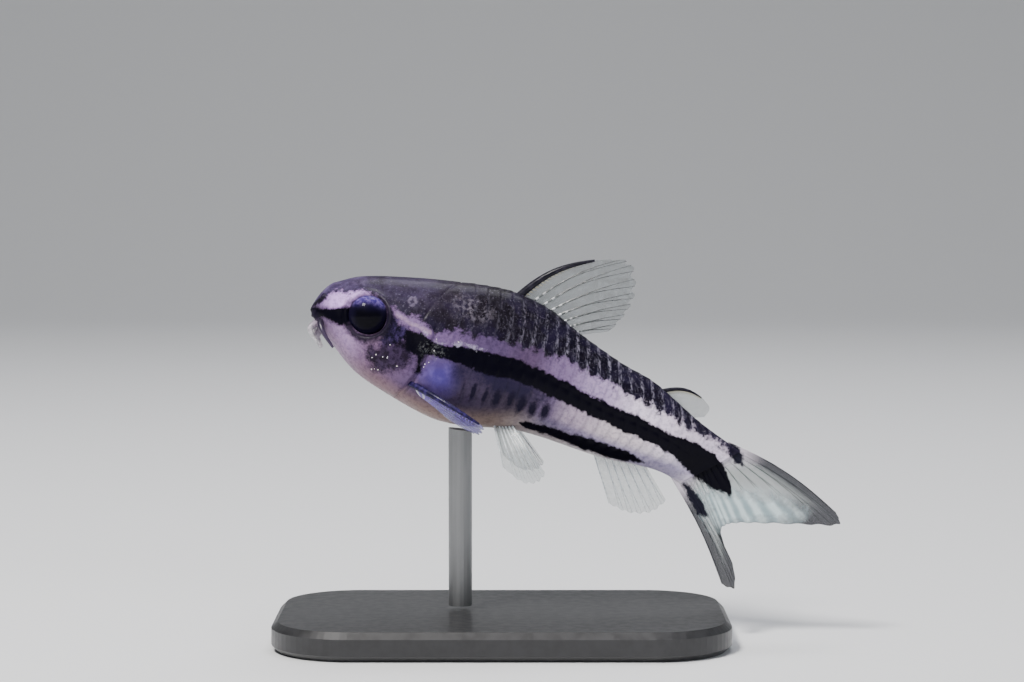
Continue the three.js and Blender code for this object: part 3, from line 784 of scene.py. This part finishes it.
def tail_material(name, rays):
    """The tail fin: dusky outer rays and tips, a pale middle, and the flank's marks on its root."""
    fin = Finish(name)
    run, ray = fin.field("run"), fin.field("ray")
    outer = fin.math("MAXIMUM", fin.span(run, 0.5, 0.9), fin.span(fin.field("place"), 0.4, 0.1))
    color = fin.mix(outer, TAIL_CLEAR, TAIL_DUSKY)
    full = fin.span(outer, 0.0, 1.0, 0.42, 0.7)
    white = fin.mask("white", 0.25, 1.1)
    streaks = fin.math("ADD", ray, fin.times(fin.noise(1600, 2), 0.6))
    aqua = fin.mix(fin.span(streaks, 0.2, 1.0), *TAIL_AQUA)
    # Each layer's mask and pigment, and how much it colours and fills the membrane.
    for mask, pigment, depth, filling in (
            (white, aqua, 1.0, 0.86),
            (fin.span(run, 0.34, 0.1), TAIL_ROOT, 0.9, 0.96),
            (fin.mask("stripe", 0.16, 0.2), BLACK, 1.0, 1.0),
            (fin.mask("stain", 0.16, 0.2), TAIL_STAIN, 1.0, 1.0)):
        color = fin.mix(fin.times(mask, depth), color, pigment)
        full = fin.math("MAXIMUM", full, fin.times(mask, filling))
    if rays:
        lit = fin.mix(fin.times(white, 0.6), color, TAIL_LIT)
        marks = fin.math("MAXIMUM", fin.field("stripe"), fin.field("stain"))
        color = fin.mix(fin.span(marks, -0.1, 0.05), lit, color)
        full = fin.math("ADD", fin.times(full, 0.5), 0.5)
    else:
        fin.shader(Normal=fin.bump(ray, 0.5, RAY_BUMP))
    return fin.shader(Base_Color=color, Alpha=full, Roughness=0.4, Specular_IOR_Level=0.06,
                      Coat_Weight=0.05, Coat_Roughness=0.12)


def ray_material(name, pale, dark, joints, dark_share):
    """Jointed fin rays: light beads near the root, dark pigment at the joints further out."""
    fin = Finish(name)
    run = fin.field("run")
    joint = fin.span(fin.math("FRACT", fin.times(run, joints)), 0.5, 0.7)
    patchy = fin.span(fin.noise(3400, 3, 0.6), 0.36, 0.58)
    color = fin.mix(fin.times(joint, fin.span(run, 0.4, 0.1, 0.0, 0.9)), pale, RAY_BEAD)
    outwards = fin.span(run, 0.2, 0.5, 0.15, dark_share)
    color = fin.mix(fin.times(joint, patchy, outwards), color, dark)
    return fin.shader(Base_Color=color, Alpha=0.9,
                      Roughness=0.3, Coat_Weight=0.4, Coat_Roughness=0.12)


def spine_material(name, dark, light, tooth):
    """A fin spine with paler teeth, whose run is written past 1."""
    spine = Finish(name)
    color = spine.mix(spine.span(spine.noise(3200, 4, 0.65), 0.4, 0.75), dark, light)
    color = spine.mix(spine.span(spine.field("run"), 1.4, 1.6), color, tooth)
    return spine.shader(
        Base_Color=color, Normal=spine.bump(spine.noise(9000, 3), 0.4, FINE_BUMP),
        Roughness=0.4, Coat_Weight=0.12, Coat_Roughness=0.12, Specular_IOR_Level=0.1)


def barbel_material(name, root, tip):
    barbel = Finish(name)
    color = barbel.ramp(barbel.field("run"), [(0.1, root), (0.75, tip)])
    mottle = barbel.span(barbel.noise(6000, 4, 0.7), 0.4, 0.65, 0.0, 0.45)
    return barbel.shader(
        Base_Color=barbel.mix(mottle, color, BARBEL_MOTTLE),
        Normal=barbel.bump(barbel.noise(14000, 3), 0.4, 0.00002),
        Roughness=0.35, Coat_Weight=0.3, Coat_Roughness=0.15, Specular_IOR_Level=0.25)


def pearl_material():
    pearl = Finish("skin_pearls")
    color = pearl.mix(pearl.span(pearl.noise(900, 2), 0.4, 0.6), *PEARL_TONES)
    return pearl.shader(Base_Color=color, Roughness=0.25, Coat_Weight=0.6, Coat_Roughness=0.05)


def paint_material():
    paint = Finish("base_paint")
    specks = paint.noise(1800, 5, 0.6)
    return paint.shader(
        Base_Color=paint.ramp(specks, PAINT), Roughness=paint.span(specks, 0.3, 0.7, 0.36, 0.5),
        Normal=paint.bump(paint.noise(6000, 4), 0.12, FINE_BUMP),
        Coat_Weight=0.25, Coat_Roughness=0.3)


def steel_material():
    steel = Finish("rod_steel")
    lines = steel.noise(5200, 4, 0.6, (1.0, 1.0, 0.03))
    return steel.shader(
        Base_Color=steel.ramp(lines, STEEL), Roughness=steel.span(lines, 0.3, 0.7, 0.4, 0.5),
        Normal=steel.bump(lines, 0.08, 0.00002), Metallic=1.0)


def tube_tree():
    """Geometry Nodes: lines with a radius at each point become round tapered tubes."""
    tree, given, tubes = node_group(
        Tree, "tapered_tubes", {"Lines": "Geometry", "Sides": "Int", "Finish": "Material"},
        ("Tubes", "Geometry"))
    curve = tree.node("GeometryNodeMeshToCurve", Mesh=given["Lines"])
    circle = tree.node("GeometryNodeCurvePrimitiveCircle", Resolution=given["Sides"], Radius=1.0)
    radius = tree.node("GeometryNodeInputNamedAttribute", {"data_type": "FLOAT"}, Name="radius")
    sweep = tree.node("GeometryNodeCurveToMesh", Curve=curve.outputs["Curve"], Fill_Caps=True,
                      Profile_Curve=circle.outputs["Curve"], Scale=radius.outputs["Attribute"])
    return tree.realized(sweep.outputs["Mesh"], given["Finish"], tubes)


def dome_tree():
    """Geometry Nodes: a small uneven dome on every point, of the size the point carries."""
    tree, given, domes = node_group(
        Tree, "pearl_domes",
        {"Places": "Geometry", "Detail": "Int", "Seed": "Int", "Finish": "Material"},
        ("Domes", "Geometry"))
    ball = tree.node("GeometryNodeMeshIcoSphere", Subdivisions=given["Detail"], Radius=1.0)
    size = tree.node("GeometryNodeInputNamedAttribute", {"data_type": "FLOAT"}, Name="radius")
    uneven = tree.node("FunctionNodeRandomValue", {"data_type": "FLOAT_VECTOR"},
                       Min=(0.7, 0.7, 0.7), Max=(1.3, 1.3, 1.3), Seed=given["Seed"])
    scale = tree.node("ShaderNodeVectorMath", {"operation": "SCALE"},
                      Vector=uneven.outputs["Value"], Scale=size.outputs["Attribute"])
    place = tree.node("GeometryNodeInstanceOnPoints", Points=given["Places"],
                      Instance=ball.outputs["Mesh"], Scale=scale.outputs["Vector"])
    return tree.realized(place.outputs["Instances"], given["Finish"], domes)


def made_by(tree, name, source, material, **values):
    """A plain mesh piece from a Geometry Nodes tree run on a source mesh."""
    carrier = in_scene(name + "_source", source)
    modifier = carrier.modifiers.new("shape", "NODES")
    modifier.node_group = tree
    for item in tree.interface.items_tree:
        if item.in_out != "INPUT" or item.socket_type == "NodeSocketGeometry":
            continue
        modifier[item.identifier] = material if item.name == "Finish" else values[item.name]
    graph = bpy.context.evaluated_depsgraph_get()
    mesh = bpy.data.meshes.new_from_object(carrier.evaluated_get(graph))
    mesh.name = name
    if not mesh.materials:
        mesh.materials.append(material)
    mesh.polygons.foreach_set("use_smooth", [True] * len(mesh.polygons))
    bpy.data.objects.remove(carrier)
    return in_scene(name, mesh)


def lines_mesh(name, lines, fields=None):
    """One mesh of edges from lines of (points, radii, runs, place) in the fish's frame."""
    points, edges, radii, runs, places = [], [], [], [], []
    for path, sizes, shares, place in lines:
        first = len(points)
        points.extend(path)
        edges.extend((first + i, first + i + 1) for i in range(len(path) - 1))
        radii.extend(size * MM for size in sizes)
        runs.extend(shares)
        places.extend([place] * len(path))
    mesh = bpy.data.meshes.new(name)
    mesh.from_pydata(placed(points).tolist(), edges, [])
    write_fields(mesh, {"radius": radii, "run": runs, "place": places})
    if fields:
        write_fields(mesh, fields(np.array(points)))
    return mesh


TUBES = tube_tree()
DOMES = dome_tree()


def pearls_piece(skin, material):
    """Pearly specks that stand out of the skin on the cheek, round the blue patch and along
    the pale band behind the head, the same on both sides."""
    x, y, z = skin[..., 0], skin[..., 1], skin[..., 2]
    flat = skin.reshape(-1, 3)
    chance = np.random.default_rng(7)
    band = 1.6 * bump(z - stripe_top(x) - 0.1, 0.13) * between(x, 6.2, 7.2, 9.0, 10.4)
    ring = bump(np.hypot(x - 7.8, z + 0.62) - 0.8, 0.09) * smooth(z, -0.9, -0.3)
    ash = 0.12 * bump(np.hypot((x - 7.05) * 0.7, z - 0.5), 0.28)
    cheek = 0.05 * (within(x, z, OUTLINES["cheek"]) > 0)
    weight = np.where(y < -0.6, np.maximum.reduce([band, ring, ash, cheek]), 0)
    points = flat[np.flatnonzero(chance.random(weight.shape) * PEARL_SCARCITY < weight)]
    sizes = chance.uniform(*PEARL_SIZES, len(points))
    for px, pz in CHEEK_PEARLS:
        nearest = np.argmin(np.where(y < 0, np.hypot(x - px, z - pz), 9))
        points = np.vstack([points, flat[nearest]])
        sizes = np.append(sizes, CHEEK_PEARL_SIZE)
    both = np.vstack([points, points * (1, -1, 1)])
    places = bpy.data.meshes.new("pearls")
    places.from_pydata(placed(both).tolist(), [], [])
    write_fields(places, {"radius": np.tile(sizes * MM, 2)})
    piece = made_by(DOMES, "pearls", places, material, Detail=2, Seed=11)
    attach(piece, "root")


# Fins, in the fish's frame: where the root and the free edge run, from the front ray back,
# how the surface bows, the number of rays, and the rays' and the spine's radii.
DORSAL = dict(
    root=[(10.19, 0, 4.3), (12.2, 0, 4.2), (13.9, 0, 3.75)],
    edge=[(13.95, 0, 8.28), (15.5, 0, 8.7), (16.3, 0, 7.4), (16.3, 0, 6.1), (15.8, 0, 4.75)],
    lead=(-0.36, 0, 0.36), rays=8, spine=0.21, scallop=0.05, ray_radius=0.075)
ADIPOSE = dict(
    root=[(19.5, 0, 2.6), (20.4, 0, 2.2), (21.4, 0, 1.75)],
    edge=[(21.95, 0, 3.1), (22.45, 0, 2.75), (22.35, 0, 2.2)],
    lead=(0, 0, 0.35), rays=1, spine=0.11, scallop=0.0, spine_reach=0.95)
ANAL = dict(
    root=[(17.2, 0, -1.6), (18.6, 0, -1.5), (20.1, 0, -1.3)],
    edge=[(19.2, 0, -4.2), (20.4, 0, -4.25), (21.5, 0, -3.8), (22.1, 0, -2.9)],
    rays=7, ray_radius=0.062)
CAUDAL_UPPER = dict(
    root=[(24.1, 0, 1.35), (23.6, 0, 0.75), (22.9, 0, -0.2)],
    edge=[(31.2, 0.25, -0.2), (31.5, 0.25, -0.75), (29.9, 0.2, -1.35), (27.7, 0.1, -2.1),
          (26.3, 0, -2.6), (25.6, 0, -2.95)],
    lead=(0.1, 0, 0.36), rays=9, fork=0.4, scallop=0.015)
CAUDAL_LOWER = dict(
    root=[(21.8, 0, -1.5), (22.2, 0, -0.95), (22.95, 0, -0.14)],
    edge=[(26.7, 0.25, -6.2), (27.4, 0.25, -6.1), (26.9, 0.2, -5.0), (26.1, 0.1, -4.2),
          (25.5, 0, -3.35), (25.68, 0, -2.88)],
    lead=(0.1, 0, 0.2), rays=8, fork=0.4, scallop=0.015)
PECTORAL = dict(
    root=[(6.4, -2.3, -1.62), (6.8, -2.4, -1.85), (7.2, -2.4, -2.05)],
    edge=[(11.15, -4.6, -2.25), (11.05, -4.1, -2.75), (10.3, -3.4, -2.85), (9.2, -2.9, -2.7)],
    sway=(-0.1, -0.4, 0.1), rays=7, spine=0.19)
PELVIC = dict(
    root=[(11.7, -1.15, -2.3), (12.2, -1.25, -2.15), (12.7, -1.35, -1.9)],
    edge=[(12.9, -2.9, -4.1), (14.1, -3.0, -4.45), (14.9, -3.0, -4.2), (15.2, -2.8, -3.6)],
    sway=(0, -0.25, 0), rays=6)
FIN_DEFAULTS = dict(sway=(0, 0, 0), lead=(0, 0, 0), scallop=0.035, ray_radius=0.055, fork=0.5,
                    spine=None, spine_reach=0.93)
MEMBRANE_HALF = 0.028
FIN_RUNS = 44
COLUMNS_A_RAY = 8
RAY_END = 0.985
FORK_SPREAD = 0.24
TEETH = range(3, 24)
TOOTH_LENGTH = 0.19
TOOTH_TIP = 0.008

BARBELS = {
    "upper": [(0.8, -0.75, -0.15), (0.85, -1.25, -0.5), (1.25, -1.6, -0.9), (1.95, -1.7, -1.4)],
    "lower": [(0.7, -0.65, -0.45), (0.4, -0.9, -0.85), (0.55, -0.98, -1.15), (0.95, -0.98, -1.42)],
    "chin": [(0.95, -0.3, -0.6), (0.82, -0.36, -1.25), (1.0, -0.42, -1.5), (1.3, -0.45, -1.78)],
}
BARBEL_ROOT = 0.23
BARBEL_TIP = 0.07


def path_through(points):
    """A smooth curve through a few points of the fish's frame, read by a share of its length."""
    curves = [through([(i, p[axis]) for i, p in enumerate(points)]) for axis in range(3)]
    last = len(points) - 1
    return lambda share: np.stack([curve(np.asarray(share, float) * last) for curve in curves], -1)


def whole(fin):
    return {**FIN_DEFAULTS, **fin}


def other_side(fin):
    fin = whole(fin)
    sway, = mirrored([fin["sway"]])
    return dict(fin, root=mirrored(fin["root"]), edge=mirrored(fin["edge"]), sway=sway)


def fin_surface(fin):
    """The fin's middle surface, read by the place along its root and the run to its edge."""
    root, edge = path_through(fin["root"]), path_through(fin["edge"])
    sway, lead = np.array(fin["sway"], float), np.array(fin["lead"], float)

    def surface(place, run):
        place, run = np.broadcast_arrays(np.asarray(place, float), np.asarray(run, float))
        bow = np.sin(run * math.pi)[..., None] * (sway + lead * (1 - place)[..., None])
        return root(place) * (1 - run[..., None]) + edge(place) * run[..., None] + bow
    return surface


def membrane_faces(columns):
    """Faces of two layers of FIN_RUNS by columns vertices, and of the border between them."""
    layer = FIN_RUNS * columns
    faces = []
    for r in range(FIN_RUNS - 1):
        for c in range(columns - 1):
            a = r * columns + c
            faces.append((a, a + 1, a + columns + 1, a + columns))
            faces.append((layer + a, layer + a + columns, layer + a + columns + 1, layer + a + 1))
    border = list(range(columns))
    border += [r * columns + columns - 1 for r in range(1, FIN_RUNS)]
    border += [(FIN_RUNS - 1) * columns + c for c in range(columns - 2, -1, -1)]
    border += [r * columns for r in range(FIN_RUNS - 2, 0, -1)]
    return faces + [(b, a, layer + a, layer + b) for a, b in zip(border, border[1:] + border[:1])]


def fin_membrane(name, fin, material, fields):
    """The thin membrane between the rays: two faces, with a scalloped free edge."""
    columns = fin["rays"] * COLUMNS_A_RAY + 1
    place = np.linspace(0, 1, columns)
    between_rays = np.abs(np.sin(math.pi * (place * fin["rays"] - 0.5)))
    reach = 1 - fin["scallop"] * between_rays ** 2
    run = np.linspace(0, 1, FIN_RUNS)[:, None] * reach[None, :]
    grid = fin_surface(fin)(np.broadcast_to(place, run.shape), run)
    offset = surface_normals(grid, closed=False) * (MEMBRANE_HALF * (1 - 0.6 * run)[..., None])
    vertices = np.vstack([(grid + offset).reshape(-1, 3), (grid - offset).reshape(-1, 3)])
    every = {"run": np.tile(run.ravel(), 2), "ray": np.tile(1 - between_rays, 2 * FIN_RUNS),
             "place": np.tile(place, 2 * FIN_RUNS)}
    if fields:
        every.update(fields(np.vstack([grid.reshape(-1, 3)] * 2)))
    return outward(mesh_object(name, vertices, membrane_faces(columns), material, every))


def fin_rays(name, fin, material, fields):
    """Rays that fork towards the free edge, as tapered tubes along the membrane."""
    surface, size, fork = fin_surface(fin), fin["ray_radius"], fin["fork"]
    lines = []
    for ray in range(1 if fin["spine"] else 0, fin["rays"]):
        place = (ray + 0.5) / fin["rays"] if ray else 0.0
        share = np.linspace(0.0, fork, 12)
        lines.append((surface(place, share), size * (1 - 0.75 * share), share, place))
        for side in (-1, 1):
            share = np.linspace(fork - 0.04, RAY_END, 14)
            spread = (share - share[0]) / (share[-1] - share[0])
            places = np.clip(place + side * spread ** 0.8 * FORK_SPREAD / fin["rays"], 0, 1)
            lines.append((surface(places, share), size * (0.68 - 0.5 * share), share, place))
    return outward(made_by(TUBES, name, lines_mesh(name, lines, fields), material, Sides=6))


def fin_spine(name, fin, material):
    """The stiff first ray, with a row of small teeth along its rear edge."""
    surface = fin_surface(fin)
    share = np.linspace(0, fin["spine_reach"], 26)
    path = surface(0.0, share)
    radius = fin["spine"] * (1.05 - 0.85 * share ** 2)
    lines = [(path, radius, share, 0)]
    for i in TEETH:
        lean = surface(0.09, share[i]) - path[i]
        lean = lean / np.linalg.norm(lean)
        back = (path[i - 1] - path[i]) * 0.25
        tip = path[i] + lean * (radius[i] * 1.4 + TOOTH_LENGTH) + back
        lines.append((np.array([path[i], tip]), [radius[i] * 0.55, TOOTH_TIP], [1.3, 2.0], 0))
    return outward(made_by(TUBES, name, lines_mesh(name, lines), material, Sides=8))


def carried(piece, slot_name, *nodes):
    if nodes:
        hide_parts(*nodes)
    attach(piece, "root")


def eye_piece(side, material):
    """A wet eyeball, a little fuller in the middle of its outer face."""
    polar = np.linspace(0, math.pi, EYE_RINGS + 2)[1:-1]
    turn = np.linspace(0, 2 * math.pi, EYE_SIDES, endpoint=False)
    p, t = np.meshgrid(polar, turn, indexing="ij")
    out = np.sin(p)
    depth = np.cos(p) * (1 + EYE_BULGE * bump(out, 0.6) * (np.cos(p) > 0))
    body = np.stack([out * np.cos(t), depth, out * np.sin(t)], -1).reshape(-1, 3)
    body = np.vstack([body, [(0, 1 + EYE_BULGE, 0), (0, -1, 0)]])
    size = np.array([EYE_RADIUS, side * EYE_DEPTH, EYE_RADIUS])
    vertices = body * size + np.array([EYE[0], side * EYE[1], EYE[2]])
    radial = np.hypot(body[:, 0], body[:, 2])
    radial[body[:, 1] < 0] = 1.1
    fields = {"out": radial, "top": body[:, 2] - 0.25 * body[:, 0]}
    name = "left" if side < 0 else "right"
    faces = closed_faces(EYE_RINGS, EYE_SIDES)
    piece = mesh_object("eyeball_" + name, vertices, faces, material, fields)
    carried(outward(piece), "eye", "eye_" + name)


def barbel_piece(kind, side, route, material):
    path = path_through(route if side == "left" else mirrored(route))
    share = np.linspace(0, 1, 30)
    radius = BARBEL_ROOT + (BARBEL_TIP - BARBEL_ROOT) * share
    name = "feeler_%s_%s" % (kind, side)
    source = lines_mesh(name, [(path(share), radius, share, 0)])
    piece = made_by(TUBES, name, source, material, Sides=16)
    carried(outward(piece), "barbel", "barbel_%s_%s" % (kind, side))


# The studio, in metres: the floor's half width, and the sweep up into the backdrop.
FLOOR_HALF = 3.0
SWEEP_START = 0.28
SWEEP_RADIUS = 0.2
BACKDROP_TOP = 1.6
LIGHT_AIM = (0.004, 0, 0.015)
# Each light's name, place, size, watts and colour, and whether it shows in gloss.
LIGHTS = [
    ("key", (-0.09, -0.12, 0.22), 0.06, 1.0, (1.0, 0.97, 0.94), True),
    ("fill", (0.2, -0.22, 0.1), 0.12, 0.3, (0.9, 0.93, 1.0), False),
    ("top", (0.03, 0.1, 0.26), 0.12, 0.45, (0.95, 0.95, 1.0), True),
]

PHOTO_WIDTH_PX = 1024
PHOTO_HEIGHT_PX = 682
SNOUT_PX = (311, 309)
PIXEL_MM = 0.055
LENS_MM = 100
SENSOR_MM = 36
CAMERA_DROP = math.radians(4)


def studio():
    """Pale floor that sweeps up into a backdrop, and soft lights."""
    profile = [(-FLOOR_HALF, 0.0), (SWEEP_START, 0.0)]
    for a in np.linspace(0.1, math.pi / 2, 14):
        profile.append((SWEEP_START + SWEEP_RADIUS * math.sin(a),
                        SWEEP_RADIUS - SWEEP_RADIUS * math.cos(a)))
    profile.append((SWEEP_START + SWEEP_RADIUS, BACKDROP_TOP))
    vertices = [(x, y, z) for y, z in profile for x in (-FLOOR_HALF, FLOOR_HALF)]
    faces = [(2 * i, 2 * i + 1, 2 * i + 3, 2 * i + 2) for i in range(len(profile) - 1)]
    mesh = bpy.data.meshes.new("floor")
    mesh.from_pydata(vertices, [], faces)
    mesh.polygons.foreach_set("use_smooth", [True] * len(faces))
    finish = Finish("studio_floor").shader(Base_Color=(0.78, 0.79, 0.8), Roughness=0.75)
    mesh.materials.append(finish)
    floor = in_scene("floor", mesh)
    world = bpy.data.worlds.new("studio_world")
    world.use_nodes = True
    sky = Shading(world.node_tree)
    sky.feed(world.node_tree.nodes["Background"], Color=(0.9, 0.94, 1.0), Strength=0.19)
    bpy.context.scene.world = world
    for light in LIGHTS:
        soft_light(*light)


def soft_light(name, place, size, power, color, in_gloss):
    data = bpy.data.lights.new(name, "AREA")
    data.shape = "SQUARE"
    data.size = size
    data.energy = power
    data.color = color
    light = in_scene(name, data)
    light.location = place
    aim = np.array(LIGHT_AIM) - np.array(place)
    down = math.acos(-aim[2] / np.linalg.norm(aim))
    light.rotation_euler = (down, 0, math.atan2(aim[1], aim[0]) - math.pi / 2)
    light.visible_glossy = in_gloss


def photo_camera():
    """The camera at the photo's viewing angle, with the snout at its place in the picture."""
    distance = LENS_MM / SENSOR_MM * PHOTO_WIDTH_PX * PIXEL_MM
    aim = SNOUT / MM + np.array([(PHOTO_WIDTH_PX / 2 - SNOUT_PX[0]) * PIXEL_MM, 0,
                                 (SNOUT_PX[1] - PHOTO_HEIGHT_PX / 2) * PIXEL_MM])
    data = bpy.data.cameras.new("camera")
    data.lens = LENS_MM
    data.sensor_width = SENSOR_MM
    data.clip_start = 0.005
    data.clip_end = 5
    camera = in_scene("camera", data)
    back = np.array([0, -math.cos(CAMERA_DROP), math.sin(CAMERA_DROP)])
    camera.location = (aim + back * distance) * MM
    camera.rotation_euler = (math.pi / 2 - CAMERA_DROP, 0, 0)
    bpy.context.scene.camera = camera


skin_grid = skin_piece(skin_material())
pearls_piece(skin_grid, pearl_material())

wet_eye = eye_material()
for eye_side in (-1, 1):
    eye_piece(eye_side, wet_eye)

dark_barbel = barbel_material("dark_barbel", (0.01, 0.007, 0.018), (0.045, 0.03, 0.065))
pale_barbel = barbel_material("pale_barbel", (0.3, 0.24, 0.32), (0.62, 0.6, 0.62))
for barbel_kind, barbel_route in BARBELS.items():
    for barbel_side in ("left", "right"):
        finish = dark_barbel if barbel_kind == "upper" else pale_barbel
        barbel_piece(barbel_kind, barbel_side, barbel_route, finish)

clear_membrane = membrane_material("fin_membrane", (0.24, 0.28, 0.27), 0.22)
dusky_membrane = membrane_material("dorsal_membrane", (0.07, 0.085, 0.085), 0.27)
violet_membrane = membrane_material("pectoral_membrane", (0.1, 0.06, 0.36), 0.55)
tail_membrane = tail_material("tail_membrane", False)
tail_rays = tail_material("tail_rays", True)
dark_rays = ray_material("dorsal_rays", (0.07, 0.08, 0.08), (0.005, 0.005, 0.008), 13, 1.0)
pale_rays = ray_material("pale_rays", (0.6, 0.64, 0.68), (0.1, 0.1, 0.14), 11, 0.5)
violet_rays = ray_material("pectoral_rays", (0.2, 0.13, 0.55), (0.03, 0.02, 0.08), 9, 0.3)
hard_spine = spine_material(
    "fin_spine", (0.005, 0.0045, 0.01), (0.028, 0.025, 0.04), (0.5, 0.47, 0.36))
navy_spine = spine_material(
    "pectoral_spine", (0.006, 0.004, 0.025), (0.04, 0.025, 0.13), (0.2, 0.14, 0.44))

FINS = [
    ("dorsal", DORSAL, dusky_membrane, dark_rays, hard_spine, None),
    ("adipose", ADIPOSE, dusky_membrane, None, hard_spine, None),
    ("anal", ANAL, clear_membrane, pale_rays, None, None),
    ("caudal_upper", CAUDAL_UPPER, tail_membrane, tail_rays, None, caudal_fields),
    ("caudal_lower", CAUDAL_LOWER, tail_membrane, tail_rays, None, caudal_fields),
    ("pectoral_left", PECTORAL, violet_membrane, violet_rays, navy_spine, None),
    ("pectoral_right", other_side(PECTORAL), violet_membrane, violet_rays, navy_spine, None),
    ("pelvic_left", PELVIC, clear_membrane, pale_rays, None, None),
    ("pelvic_right", other_side(PELVIC), clear_membrane, pale_rays, None, None),
]
for fin_name, fin_shape, membrane, rays, spine, extra_fields in FINS:
    fin_shape = whole(fin_shape)
    web = fin_membrane("membrane_" + fin_name, fin_shape, membrane, extra_fields)
    carried(web, "fin", "fin_" + fin_name)
    if rays:
        carried(fin_rays("rays_" + fin_name, fin_shape, rays, extra_fields), "fin")
    if spine:
        carried(fin_spine("spine_" + fin_name, fin_shape, spine), "fin")

for node_name, finish in (("stand_base", paint_material()), ("stand_rod", steel_material())):
    for material_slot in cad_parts[node_name].material_slots:
        material_slot.material = finish

studio()
photo_camera()
